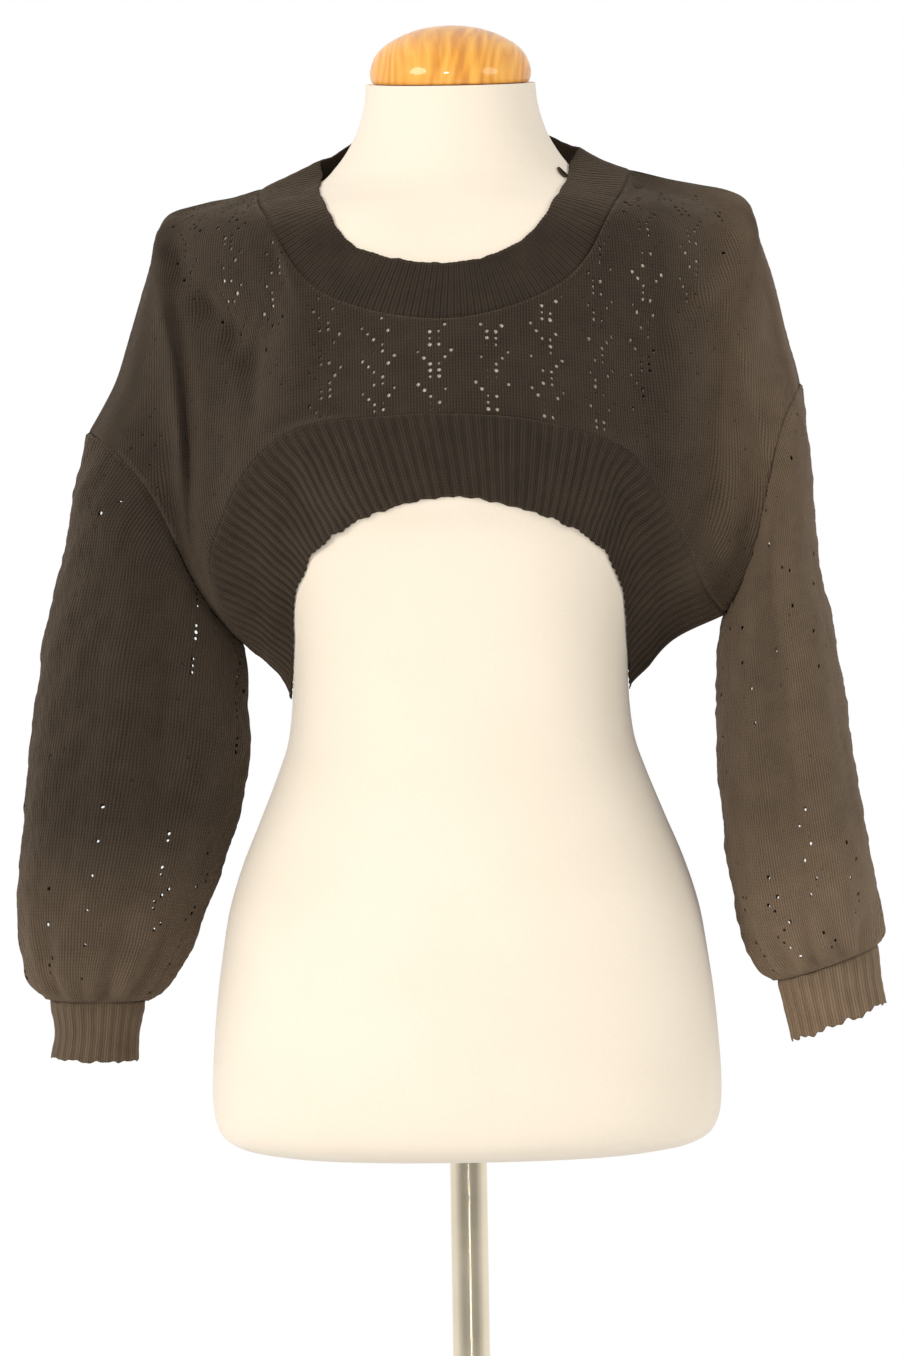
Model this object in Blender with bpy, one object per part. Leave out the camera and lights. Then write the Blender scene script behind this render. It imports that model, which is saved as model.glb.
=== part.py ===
"""A cropped knit pullover on a limbless dress form with a round steel foot.

Metres, +Z up. X runs across the chest, -Y is the front. The origin is on the floor under the pole.
The tables are in millimetres. A cloth table gives the outer face of the knit.
"""
import math

import bmesh
import bpy
import numpy as np
from mathutils import Vector
from mathutils.bvhtree import BVHTree

MM = 0.001

# Sizes of the stand and of the cloth, in millimetres.
POLE_RADIUS = 12.0
BASE_RADIUS = 170.0
BASE_THICKNESS = 9.0
CAP_TILT = math.radians(10.0)
TOUCH = 0.3
SEAM_HALF_GAP = 0.15
CORNER_GAP = 0.5
CORNER_REACH = 14.0
KNIT = 1.8
BAND = 1.5
RIB = 0.9
EASE = 2.0
PANEL_EASE = 3.0
NECK_EASE = 1.5
NECK_MIDDLE_EASE = 2.9
CAP_SEAT = 0.4
FOOT_BEVEL = 3.0
SHARP_ANGLE = math.radians(50.0)

# How finely the cloth is cut up: columns along a shoulder and half the neckline, rows of a panel,
# rings of a sleeve and rows of each ribbed band.
SHOULDER_COLUMNS = 11
NECK_COLUMNS = 18
PANEL_ROWS = 12
SLEEVE_RINGS = 17
BAND_ROWS = 2
NECK_ROWS = 3
CUFF_ROWS = 2
CAP_STEPS = 24
POLE_STEPS = 24
FOOT_STEPS = 48
PANEL_COLUMNS = 2 * SHOULDER_COLUMNS + NECK_COLUMNS
SLEEVE_COLUMNS = 2 * PANEL_ROWS

# The form, from the bottom of the hips up: height, half width, depth in front and behind,
# how square the section is, and how much of the neck's tilt it has.
FORM = [
    # z, half_width, front, back, power, tilt
    (771, 125, 72, 78, 2.2, 0),
    (776, 148, 90, 96, 2.2, 0),
    (787, 161, 101, 108, 2.3, 0),
    (812, 165, 106, 113, 2.3, 0),
    (862, 162, 108, 120, 2.3, 0),
    (901, 157, 108, 120, 2.3, 0),
    (930, 152, 105, 114, 2.3, 0),
    (959, 143, 100, 107, 2.2, 0),
    (988, 131, 94, 98, 2.2, 0),
    (1018, 119, 88, 88, 2.2, 0),
    (1040, 112, 85, 81, 2.2, 0),
    (1070, 109, 83, 78, 2.2, 0),
    (1098, 110, 85, 78, 2.2, 0),
    (1127, 114, 90, 80, 2.2, 0),
    (1165, 122, 101, 86, 2.2, 0),
    (1190, 130, 118, 91, 2.2, 0),
    (1218, 138, 127, 95, 2.2, 0),
    (1250, 143, 122, 97, 2.2, 0),
    (1290, 148, 106, 96, 2.3, 0),
    (1318, 164, 95, 94, 2.4, 0),
    (1340, 177, 86, 88, 2.4, 0),
    (1360, 180, 80, 84, 2.2, 0),
    (1372, 178, 74, 80, 2.0, 0),
    (1380, 168, 70, 77, 1.7, 0),
    (1388, 130, 66, 73, 1.5, 0),
    (1395, 99, 63, 69, 1.6, 0.1),
    (1402, 84, 60, 66, 1.7, 0.2),
    (1410, 76, 58, 63, 1.8, 0.4),
    (1420, 68.5, 56, 60, 1.9, 0.6),
    (1433, 61.5, 53.5, 58, 2.0, 0.85),
    (1450, 56.5, 52, 54.5, 2.0, 1),
    (1464, 55, 51, 53, 2.0, 1),
]
FORM_COLUMNS = 28

# The varnished cap on the neck, as a turned profile: radius and height over its underside.
CAP_PROFILE = [(0, 37), (20, 34.7), (36, 28.7), (46.5, 21.2), (51.5, 12), (52.5, 6), (50.5, 0), (0, 0)]

# The fold line along each shoulder, from the armhole's top up to the neckband.
SHOULDER_LEFT = [
    # x, y, z
    (-239, 0, 1241), (-228.5, 0, 1259), (-220, 0, 1276), (-212, 0, 1301), (-204, 0, 1327),
    (-198, 0, 1346), (-194.5, 0, 1360), (-190, 0, 1376), (-181, 0, 1385.5), (-161, 0, 1391.5),
    (-142, 0, 1395), (-124, 0, 1399.5),
]
SHOULDER_RIGHT = [
    # x, y, z
    (224, 0, 1265), (220.5, 0, 1280), (216, 0, 1296), (211, 0, 1319), (206, 0, 1339), (199, 0, 1359),
    (196, 0, 1373), (190.5, 0, 1385.5), (178, 0, 1392), (160, 0, 1396), (140, 0, 1400), (115, 0, 1406),
]

# The neckband: its free upper edge and its seam, from the left shoulder round the front and the back.
NECK_EDGE = [
    # x, y, z
    (-88, 0, 1412), (-83, -53, 1385), (-62, -82, 1351), (-3, -89, 1339), (46, -82, 1355),
    (70, -52, 1392), (83, 0, 1418), (77, 26, 1426), (50, 51, 1440), (-4, 63, 1444), (-52, 50, 1438),
    (-77, 27, 1422),
]
NECK_SEAM = [
    # x, y, z
    (-124, 0, 1399.5), (-120, -53, 1376), (-84, -88, 1322), (-5, -104, 1303), (70, -88, 1327),
    (105, -50, 1383), (115, 0, 1406), (97, 40, 1398), (56, 63, 1401), (-3, 71, 1404), (-62, 61, 1401),
    (-104, 38, 1396),
]

# The seam between the front and its hem band, from the left underarm to the right one.
RIB_TOP = [
    # x, y, z
    (-140.5, 0, 1102), (-147, -22, 1111), (-155, -41, 1131), (-158, -55, 1156), (-149, -70, 1180),
    (-136.5, -86, 1204), (-116.5, -100, 1225), (-91, -113, 1237), (-50, -124.5, 1241), (-6, -129, 1242),
    (50, -124.5, 1237), (101.5, -106, 1221), (121, -90, 1200), (136, -71, 1176), (149, -51, 1151),
    (160, -27, 1130), (173, 0, 1116),
]

# The free edge of the hem band, arched high over the front.
HEM_EDGE = [
    # x, y, z
    (-111.5, 0, 1066), (-110.5, -14, 1080), (-108.5, -27, 1099), (-107.5, -40, 1126), (-96, -70, 1154),
    (-85, -84, 1163), (-70, -97, 1172), (-48, -111, 1180), (-17, -121, 1188), (11, -121, 1188),
    (48, -111, 1179), (75, -94, 1169), (90, -78, 1160), (99, -64, 1151), (106, -42, 1130),
    (108, -27, 1105), (108.5, -14, 1086), (109, 0, 1069),
]

# The short side seams of the hem band, from the underarm down.
SIDE_LEFT = [(-140.5, 0, 1102), (-130.5, 0, 1095), (-121, 0, 1084.5), (-111.5, 0, 1066)]
SIDE_RIGHT = [(173, 0, 1116), (151, 0, 1108), (128, 0, 1091), (109, 0, 1069)]

# The back has the same cut with a lower arch, and lies nearer to the form.
BACK_ARCH = 0.88
BACK_DEPTH = 0.80

# Each armhole: half its depth, and how strongly its seam bows in towards the body, high up and low down.
ARMHOLE_LEFT = dict(half_depth=46, bow_high=37, bow_low=-19)
ARMHOLE_RIGHT = dict(half_depth=60, bow_high=20, bow_low=-15)

# A sleeve hangs from the armhole: its outline away from the body and towards it, and half its depth.
SLEEVE_LEFT = [
    # out_x, out_z, in_x, in_z, half_depth
    (-249, 1197, -139, 1082, 54),
    (-256, 1158, -139, 1062, 56),
    (-267, 1120, -138, 1043, 53),
    (-273, 1081, -139, 1024, 50),
    (-279, 1042, -143, 1002, 48),
    (-283, 1003, -150, 978, 47),
    (-287, 964, -158, 955, 46),
    (-289.5, 938, -166, 936, 45),
    (-287, 912, -177, 910, 43),
    (-282, 888, -193, 885, 38),
    (-270, 873, -208, 872, 29),
]
SLEEVE_RIGHT = [
    # out_x, out_z, in_x, in_z, half_depth
    (227, 1228, 168, 1095, 68),
    (230, 1189, 168, 1074, 71),
    (233, 1150, 167, 1052, 70),
    (241, 1111, 167, 1030, 68),
    (247, 1072, 168, 1006, 67),
    (252, 1033, 170, 982, 66),
    (258, 994, 172, 958, 64),
    (264, 957, 176, 932, 61),
    (267, 930, 182, 907, 55),
    (269, 912, 191, 889, 44),
    (268, 900, 203, 878, 30),
]
CUFF_LEFT = [
    # out_x, out_z, in_x, in_z, half_depth
    (-270, 873, -208, 872, 29),
    (-267, 859, -211, 859, 27.5),
    (-267, 847, -214, 846, 27),
    (-269.5, 836, -214, 833, 28),
]
CUFF_RIGHT = [
    # out_x, out_z, in_x, in_z, half_depth
    (268, 900, 203, 878, 30),
    (268.5, 888, 206, 866, 28),
    (270, 876, 209.5, 852, 27.5),
    (272, 864, 212, 839, 28.5),
]

# Soft folds: where each runs on its piece, as shares of the width and of the length, its half width
# as a share of the width, and how far it stands out.
FRONT_FOLDS = [
    # u0, v0, u1, v1, half_width, height
    (0.13, 0.10, 0.09, 0.60, 0.035, 5.0),
    (0.19, 0.25, 0.15, 0.80, 0.030, -4.0),
    (0.88, 0.10, 0.93, 0.80, 0.035, 5.0),
    (0.82, 0.30, 0.88, 0.90, 0.030, -3.0),
]
BACK_FOLDS = [
    # u0, v0, u1, v1, half_width, height
    (0.12, 0.15, 0.09, 0.80, 0.035, 4.0),
    (0.88, 0.12, 0.90, 0.75, 0.035, 4.5),
    (0.45, 0.60, 0.50, 0.95, 0.040, 3.0),
]
SLEEVE_LEFT_FOLDS = [
    # u0, v0, u1, v1, half_width, height
    (0.28, 0.12, 0.31, 0.55, 0.05, -7.0),
    (0.21, 0.15, 0.23, 0.80, 0.05, 3.0),
    (0.10, 0.15, 0.10, 0.85, 0.05, 4.0),
    (0.62, 0.10, 0.60, 0.70, 0.05, 4.5),
    (0.72, 0.08, 0.75, 0.80, 0.05, -5.0),
    (0.86, 0.20, 0.88, 0.85, 0.05, 4.0),
]
SLEEVE_RIGHT_FOLDS = [
    # u0, v0, u1, v1, half_width, height
    (0.34, 0.12, 0.38, 0.85, 0.05, 5.0),
    (0.26, 0.10, 0.27, 0.80, 0.04, -5.0),
    (0.14, 0.18, 0.16, 0.85, 0.05, 5.0),
    (0.64, 0.10, 0.62, 0.75, 0.05, 4.0),
    (0.74, 0.12, 0.72, 0.80, 0.05, -5.0),
    (0.86, 0.15, 0.88, 0.85, 0.05, 4.0),
]

# The gathers over a cuff: how deep, and from what share of the sleeve's length to what other share.
GATHER = 2.6
GATHERED_FROM = 0.72
GATHERED_TO = 0.93
GATHER_END = 0.05

# How far past its ends a fold dies away, as a share of the piece's length.
FOLD_FADE = 0.12

# The knit's columns fan out round the inner end of each shoulder fold: by how much, how far to the outer
# and the inner side of it as a share of the width, and from what share of the way down.
FAN = 16.0
FAN_WIDTH = 0.15
FAN_INSIDE = 0.045
FAN_START = 0.08

# How fast the bulge of an armhole dies away across a panel, and how many columns the neckline's ends take
# to reach the shoulder folds.
SIDE_FADE = 4
NECK_BLEND = 2.2

# Over this height the form's shoulders slope, and a place is measured from a little lower down.
SHOULDER_LEVEL = 1340

# Where the form reaches further than this under a panel, folds only stand out and never sink in.
ON_FORM = 5.0

# The front and back lie on the form this near the middle, and keep their own line past HANGS_PAST.
LIES_WITHIN = 60.0
HANGS_PAST = 130.0

# The neckband lies on the form in front, and stands off the neck behind this depth.
BAND_LIES_TO = -30.0
BAND_STANDS_FROM = 10.0


def clear_scene():
    for item in list(bpy.data.objects):
        bpy.data.objects.remove(item, do_unlink=True)


def principled(name, colour, roughness, metallic=0.0):
    material = bpy.data.materials.new(name)
    material.use_nodes = True
    shader = material.node_tree.nodes["Principled BSDF"]
    shader.inputs["Base Color"].default_value = (*colour, 1.0)
    shader.inputs["Roughness"].default_value = roughness
    shader.inputs["Metallic"].default_value = metallic
    return material


def along(points, places):
    """Points of a smooth curve through the given ones, at places counted in rows of the table."""
    points = np.asarray(points, float)
    last = len(points) - 1
    ends = np.vstack([2 * points[0] - points[1], points, 2 * points[-1] - points[-2]])
    places = np.clip(np.asarray(places, float), 0, last)
    row = np.minimum(places.astype(int), last - 1)
    t = (places - row)[:, None]
    before, start, end, after = (ends[row + step] for step in range(4))
    return 0.5 * (2 * start + (end - before) * t + (2 * before - 5 * start + 4 * end - after) * t ** 2
                  + (3 * start - before - 3 * end + after) * t ** 3)


def evenly(points, count):
    """The same smooth curve cut into count steps of equal length."""
    dense = along(points, np.linspace(0, len(points) - 1, 40 * len(points)))
    run = np.concatenate([[0], np.cumsum(np.linalg.norm(np.diff(dense, axis=0), axis=1))])
    wanted = np.linspace(0, run[-1], count + 1)
    return np.stack([np.interp(wanted, run, dense[:, axis]) for axis in range(3)], axis=1)


def round_loop(points, count):
    """A closed smooth loop with count steps shared out equally between the rows of its table."""
    points = np.asarray(points, float)
    wrapped = np.vstack([points[-2:], points, points[:3]])
    places = np.arange(count) * len(points) / count + 2
    return along(wrapped, places)


def form_ring(z, half_width, front, back, power, tilt):
    turn = np.arange(FORM_COLUMNS) * 2 * math.pi / FORM_COLUMNS
    across = np.sign(np.cos(turn)) * np.abs(np.cos(turn)) ** (2 / power)
    deep = np.sign(np.sin(turn)) * np.abs(np.sin(turn)) ** (2 / power)
    y = np.where(deep < 0, front, back) * deep
    return np.stack([half_width * across, y, z + tilt * y * math.tan(CAP_TILT)], axis=1)


def form_depth(x, z, at_back, room):
    """How far the form and some room round it reach, in front or behind, at a place seen from the front."""
    table = np.array(FORM, float)
    level = np.where(z > SHOULDER_LEVEL, z - room, z)
    half_width = np.interp(level, table[:, 0], table[:, 1]) + room
    reach = np.interp(level, table[:, 0], table[:, 3 if at_back else 2]) + room
    power = np.interp(level, table[:, 0], table[:, 4])
    share = np.clip(np.abs(x) / half_width, 0, 1)
    return reach * (1 - share ** power) ** (1 / power)


def new_object(name, bm, material, collection):
    bmesh.ops.recalc_face_normals(bm, faces=bm.faces)
    mesh = bpy.data.meshes.new(name)
    bm.to_mesh(mesh)
    bm.free()
    mesh.materials.append(material)
    mesh.shade_smooth()
    mesh.set_sharp_from_angle(angle=SHARP_ANGLE)
    item = bpy.data.objects.new(name, mesh)
    collection.objects.link(item)
    return item


def ring_faces(bm, lower, upper):
    for here in range(len(lower)):
        there = (here + 1) % len(lower)
        bm.faces.new((lower[here], lower[there], upper[there], upper[here]))


def build_form(material, collection):
    """The padded torso, one ring for each row of its table, with flat faces at the neck and the hips."""
    bm = bmesh.new()
    rings = [[bm.verts.new(Vector(p) * MM) for p in form_ring(*row)] for row in FORM]
    for lower, upper in zip(rings, rings[1:]):
        ring_faces(bm, lower, upper)
    bm.faces.new(rings[0])
    bm.faces.new(rings[-1])
    return new_object("form_torso", bm, material, collection)


def build_cap(material, collection):
    """The turned wooden cap, tipped forward with the neck."""
    bm = bmesh.new()
    profile = [bm.verts.new((radius * MM, 0, height * MM)) for radius, height in CAP_PROFILE]
    edges = [bm.edges.new(pair) for pair in zip(profile, profile[1:])]
    bmesh.ops.spin(bm, geom=profile + edges, cent=(0, 0, 0), axis=(0, 0, 1), angle=2 * math.pi,
                   steps=CAP_STEPS, use_merge=True)
    bmesh.ops.remove_doubles(bm, verts=bm.verts, dist=0.00001)
    cap = new_object("neck_cap", bm, material, collection)
    cap.location = (0, 0, (FORM[-1][0] + CAP_SEAT) * MM)
    cap.rotation_euler = (CAP_TILT, 0, 0)
    return cap


def build_stand(steel, collection):
    """The pole, which meets the hips, and the plain round foot that it stands on."""
    low = BASE_THICKNESS + TOUCH
    high = FORM[0][0] - TOUCH
    bm = bmesh.new()
    bmesh.ops.create_cone(bm, cap_ends=True, segments=POLE_STEPS, radius1=POLE_RADIUS * MM,
                          radius2=POLE_RADIUS * MM, depth=(high - low) * MM)
    pole = new_object("pole", bm, steel, collection)
    pole.location = (0, 0, (high + low) / 2 * MM)
    bm = bmesh.new()
    bmesh.ops.create_cone(bm, cap_ends=True, segments=FOOT_STEPS, radius1=BASE_RADIUS * MM,
                          radius2=(BASE_RADIUS - FOOT_BEVEL) * MM, depth=BASE_THICKNESS * MM)
    base = new_object("base_plate", bm, steel, collection)
    base.location = (0, 0, BASE_THICKNESS / 2 * MM)


# The rows of a panel are a little closer together at both ends: this much of the way to a cosine's steps.
CLOSER_ENDS = 0.55


def spread(count):
    """Shares of the way down a panel."""
    even = np.linspace(0, 1, count + 1)
    return (1 - CLOSER_ENDS) * even + CLOSER_ENDS * (1 - np.cos(math.pi * even)) / 2


# An armhole is round at the shoulder and pointed at the underarm. TEARDROP brings its widest place to 1,
# POINT says how pointed it is, and the sleeve is round again after a few rings.
TEARDROP = 2.55
POINT = 0.95
POINTED_RINGS = 5


def armhole(top, bottom, half_depth, bow_high, bow_low, side):
    """The two halves of an armhole seam, front and back, from the shoulder down to the underarm."""
    top, bottom = np.array(top, float), np.array(bottom, float)
    share = spread(PANEL_ROWS)[:, None]
    line = top + (bottom - top) * share
    bow = 3 * share * (1 - share) * (bow_high * (1 - share) + bow_low * share)
    line = line - np.array([side, 0, 0]) * bow
    reach = np.array([0, half_depth, 0]) * TEARDROP * np.sqrt(share) * (1 - share) ** POINT
    return line - reach, line + reach


def folded(shares_u, shares_v, folds):
    """How far soft folds lift each point of a piece."""
    u, v = np.meshgrid(shares_u, shares_v)
    lift = np.zeros_like(u)
    for u0, v0, u1, v1, half_width, height in folds:
        step = np.clip((v - v0) / (v1 - v0), 0, 1)
        off = (u - (u0 + (u1 - u0) * step)) / half_width
        fade = np.clip(np.minimum(v - v0 + FOLD_FADE, v1 + FOLD_FADE - v) / (2 * FOLD_FADE), 0, 1)
        lift += height * np.exp(-off ** 2) * fade ** 2 * (3 - 2 * fade)
    return lift


def panel(top, bottom, left, right, at_back, folds):
    """A body panel: a smooth sheet between its four edges, pushed clear of the form."""
    u = np.linspace(0, 1, PANEL_COLUMNS + 1)[None, :, None]
    v = spread(PANEL_ROWS)[:, None, None]
    sheet = (1 - v) * top[None] + v * bottom[None]
    for edge, near in ((left, (1 - u) ** SIDE_FADE), (right, u ** SIDE_FADE)):
        ends = (1 - v) * edge[0] + v * edge[-1]
        sheet = sheet + near * (edge[:, None] - ends)
    for corner, way in ((SHOULDER_COLUMNS, -1), (PANEL_COLUMNS - SHOULDER_COLUMNS, 1)):
        out = (u - corner / PANEL_COLUMNS) * way
        width = np.where(out > 0, FAN_WIDTH, FAN_INSIDE)
        near = np.exp(-(out / width) ** 2) * np.minimum(v / FAN_START, 1) * (1 - v) ** 2
        near = near * np.clip(np.minimum(u, 1 - u) / FAN_WIDTH, 0, 1)
        sheet[..., 0] += way * FAN * near[..., 0]
    side = 1 if at_back else -1
    depth = side * sheet[..., 1]
    needed = form_depth(sheet[..., 0], sheet[..., 2], at_back, KNIT + PANEL_EASE)
    lift = folded(u.ravel(), v.ravel(), folds)
    raised = np.maximum(lift, 0)
    hanging = np.clip((np.abs(sheet[..., 0]) - LIES_WITHIN) / (HANGS_PAST - LIES_WITHIN), 0, 1)
    hanging = hanging * hanging * (3 - 2 * hanging)
    depth = np.where(needed > ON_FORM, needed + (depth - needed) * hanging, depth)
    depth = np.maximum(depth + np.where(needed > ON_FORM, raised, lift), needed + raised)
    inner = (slice(1, -1), slice(1, -1))
    sheet[inner + (1,)] = side * depth[inner]
    return sheet


def tube_ring(out_x, out_z, in_x, in_z, half_depth, pointed=0.0):
    """One ring of a sleeve or cuff, from its outer side round the front and the back."""
    share = spread(PANEL_ROWS)
    share = np.concatenate([share, share[-2:0:-1]])
    oval = 2 * np.sqrt(share * (1 - share))
    drop = TEARDROP * np.sqrt(share) * (1 - share) ** POINT
    deep = (oval * (1 - pointed) + drop * pointed) * half_depth
    front = np.arange(SLEEVE_COLUMNS) <= PANEL_ROWS
    y = np.where(front, -deep, deep)
    return np.stack([out_x + (in_x - out_x) * share, y, out_z + (in_z - out_z) * share], axis=1)


def tube(table, rings, pointed_rings=0):
    rows = along(table, np.linspace(0, len(table) - 1, rings + 1))
    pointed = np.clip(1 - np.arange(rings + 1) / max(pointed_rings, 1), 0, 1) * (pointed_rings > 0)
    return np.stack([tube_ring(*row, point) for row, point in zip(rows, pointed)])


def sleeve(front_seam, back_seam, table, folds):
    """A sleeve from the armhole to the cuff, with its folds and the gathers over the cuff."""
    first = np.concatenate([front_seam, back_seam[-2:0:-1]])
    top = front_seam[0]
    bottom = front_seam[-1]
    start = (top[0], top[2], bottom[0], bottom[2], 0.5 * (table[0][4] + np.abs(first[:, 1]).max()))
    rows = tube([start] + table, SLEEVE_RINGS, POINTED_RINGS)
    rows[0] = first
    centre = rows.mean(axis=1, keepdims=True)
    outward = rows - centre
    outward /= np.linalg.norm(outward, axis=2, keepdims=True)
    v = np.linspace(0, 1, SLEEVE_RINGS + 1)
    lift = folded(np.arange(SLEEVE_COLUMNS) / SLEEVE_COLUMNS, v, folds)
    pinch = np.clip((v - GATHERED_FROM) / (GATHERED_TO - GATHERED_FROM), 0, 1)
    pinch = pinch * np.clip((1 - v) / GATHER_END, 0, 1)
    pleats = np.where(np.arange(SLEEVE_COLUMNS) % 2 == 0, 1.0, -1.0)
    lift = lift + GATHER * pinch[:, None] * pleats[None]
    lift[:2] = 0
    lift[-1] = 0
    return rows + outward * lift[..., None]


def band(top, bottom, left, right):
    """A hem band between its seam, its free edge and its two side seams."""
    u = np.linspace(0, 1, len(top))[None, :, None]
    v = np.linspace(0, 1, BAND_ROWS + 1)[:, None, None]
    left = evenly(left, BAND_ROWS)
    right = evenly(right, BAND_ROWS)
    sides = (1 - u) * left[:, None] + u * right[:, None]
    upper = (1 - v) * (top[None] - (1 - u) * top[0] - u * top[-1])
    lower = v * (bottom[None] - (1 - u) * bottom[0] - u * bottom[-1])
    return sides + upper + lower


def behind(points):
    """The back's copy of a front edge: a lower arch, and a shallower depth on the other side."""
    points = np.array(points, float)
    floor = points[0, 2] + (points[-1, 2] - points[0, 2]) * np.linspace(0, 1, len(points))
    points[:, 2] = floor + (points[:, 2] - floor) * BACK_ARCH
    points[:, 1] *= -BACK_DEPTH
    return points


def keep_clear(points, tree, room):
    """Moves points that are nearer to the form than room straight out from it."""
    flat = points.reshape(-1, 3)
    for index, point in enumerate(flat):
        place, normal, face, distance = tree.find_nearest(Vector(point) * MM)
        outside = (Vector(point) * MM - place).dot(normal)
        if outside < room * MM:
            flat[index] = (place + normal * room * MM) / MM
    return flat.reshape(points.shape)


def lay_on(points, tree, room):
    """Lays points on the form with a set room under them."""
    flat = points.reshape(-1, 3)
    for index, point in enumerate(flat):
        place, normal, face, distance = tree.find_nearest(Vector(point) * MM)
        flat[index] = (place + normal * room * MM) / MM
    return flat.reshape(points.shape)


class Cloth:
    """One knit piece: the grid of its outer face, how it closes, and which of its edges are seams."""

    def __init__(self, name, rows, thickness, outward, closed=False, seams="", ribs=0):
        self.name = name
        self.rows = rows
        self.thickness = thickness
        self.outward = outward
        self.closed = closed
        self.seams = seams
        self.ribs = ribs

    def normals(self):
        """Outward normals of the grid's points, not yet of unit length."""
        p = np.concatenate([self.rows, self.rows[:, :1]], axis=1) if self.closed else self.rows
        across = p[:-1, 1:] - p[1:, :-1]
        down = p[1:, 1:] - p[:-1, :-1]
        faces = np.cross(across, down) * -self.outward
        total = np.zeros_like(p)
        for i in (0, 1):
            for j in (0, 1):
                total[i:total.shape[0] - 1 + i, j:total.shape[1] - 1 + j] += faces
        if self.closed:
            total[:, 0] += total[:, -1]
            total = total[:, :-1]
        return total

    def inset(self, normal):
        """Draws the seam edges back by half the gap between two pieces."""
        moved = self.rows.copy()
        edges = {
            "top": (slice(0, 1), slice(None), 1, 0),
            "bottom": (slice(-1, None), slice(None), -1, 0),
            "left": (slice(None), slice(0, 1), 0, 1),
            "right": (slice(None), slice(-1, None), 0, -1),
        }
        for name in self.seams.split():
            rows, columns, step_row, step_column = edges[name]
            edge = self.rows[rows, columns]
            inside = np.roll(self.rows, (-step_row, -step_column), axis=(0, 1))[rows, columns]
            line = edge.reshape(-1, 3)
            if self.closed:
                tangent = np.roll(line, -1, axis=0) - np.roll(line, 1, axis=0)
            else:
                tangent = np.gradient(line, axis=0)
            tangent /= np.linalg.norm(tangent, axis=1, keepdims=True)
            out = normal[rows, columns].reshape(-1, 3)
            flat = np.cross(tangent, out)
            flat /= np.linalg.norm(flat, axis=1, keepdims=True)
            toward = inside.reshape(-1, 3) - line
            flat *= np.sign((flat * toward).sum(axis=1, keepdims=True))
            gap = np.full(len(line), SEAM_HALF_GAP)
            for underarm in UNDERARM_WAYS:
                away = np.linalg.norm(line - np.array(underarm), axis=1)
                gap += CORNER_GAP * np.exp(-(away / CORNER_REACH) ** 2)
            moved[rows, columns] += (flat * gap[:, None]).reshape(edge.shape)
        return moved


# At an underarm the sleeve and the body face each other, so their shared edge looks down the crease.
UNDERARM_WAYS = {RIB_TOP[0]: (0.55, 0, -0.83), RIB_TOP[-1]: (-0.55, 0, -0.83)}


def weld_normals(pieces):
    """Unit normals for every piece, equal where two pieces share a point of a seam."""
    shared = {}
    loose = {}
    for piece in pieces:
        loose[piece.name] = piece.normals()
        unit = loose[piece.name] / np.linalg.norm(loose[piece.name], axis=2, keepdims=True)
        for point, normal in zip(piece.rows.reshape(-1, 3), unit.reshape(-1, 3)):
            key = tuple(np.round(point, 2))
            shared[key] = shared.get(key, 0) + normal
    for underarm in UNDERARM_WAYS:
        shared[tuple(np.round(underarm, 2))] = np.array(UNDERARM_WAYS[underarm])
    for piece in pieces:
        flat = np.array([shared[tuple(np.round(point, 2))] for point in piece.rows.reshape(-1, 3)])
        flat /= np.linalg.norm(flat, axis=1, keepdims=True)
        loose[piece.name] = flat.reshape(piece.rows.shape)
    return loose


def ribbed(grid, normal, ribs, closed, height):
    """Splits each column into ribs columns and lifts every other one by the rib's height."""
    columns = grid.shape[1]
    last = columns if closed else columns - 1
    places = np.arange(last * ribs + (0 if closed else 1))
    low = (places // ribs) % columns
    high = (low + 1) % columns if closed else np.minimum(low + 1, columns - 1)
    share = ((places % ribs) / ribs)[None, :, None]
    base = grid[:, low] * (1 - share) + grid[:, high] * share
    out = normal[:, low] * (1 - share) + normal[:, high] * share
    out /= np.linalg.norm(out, axis=2, keepdims=True)
    lift = np.where(places % 2 == 1, height, 0.0)
    return base + out * lift[None, :, None]


def build_cloth(piece, normal, material, collection):
    """Closes a knit piece: a plain inside, an outside with its ribs, and a wall all round the edges."""
    face = piece.inset(normal)
    inside = face - normal * piece.thickness
    outside = face
    step = 1
    if piece.ribs:
        outside = ribbed(face, normal, piece.ribs, piece.closed, RIB)
        inside = ribbed(inside, normal, piece.ribs // 2, piece.closed, 0)
        step = 2
    bm = bmesh.new()
    inner = [[bm.verts.new(Vector(p) * MM) for p in row] for row in inside]
    outer = [[bm.verts.new(Vector(p) * MM) for p in row] for row in outside]
    rows = len(inner)
    wide = len(inner[0]) if piece.closed else len(inner[0]) - 1
    for sheet, count in ((inner, wide), (outer, wide * step)):
        total = len(sheet[0])
        for upper, lower in zip(sheet, sheet[1:]):
            for here in range(count):
                there = (here + 1) % total
                bm.faces.new((upper[here], upper[there], lower[there], lower[here]))
    for row in (0, rows - 1):
        for here in range(wide):
            there = (here + 1) % len(inner[0])
            run = [outer[row][(here * step + turn) % len(outer[0])] for turn in range(step + 1)]
            bm.faces.new([inner[row][there], inner[row][here]] + run)
    if not piece.closed:
        for side in (0, -1):
            for row in range(rows - 1):
                bm.faces.new((inner[row][side], inner[row + 1][side], outer[row + 1][side], outer[row][side]))
    return new_object(piece.name, bm, material, collection)


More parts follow.
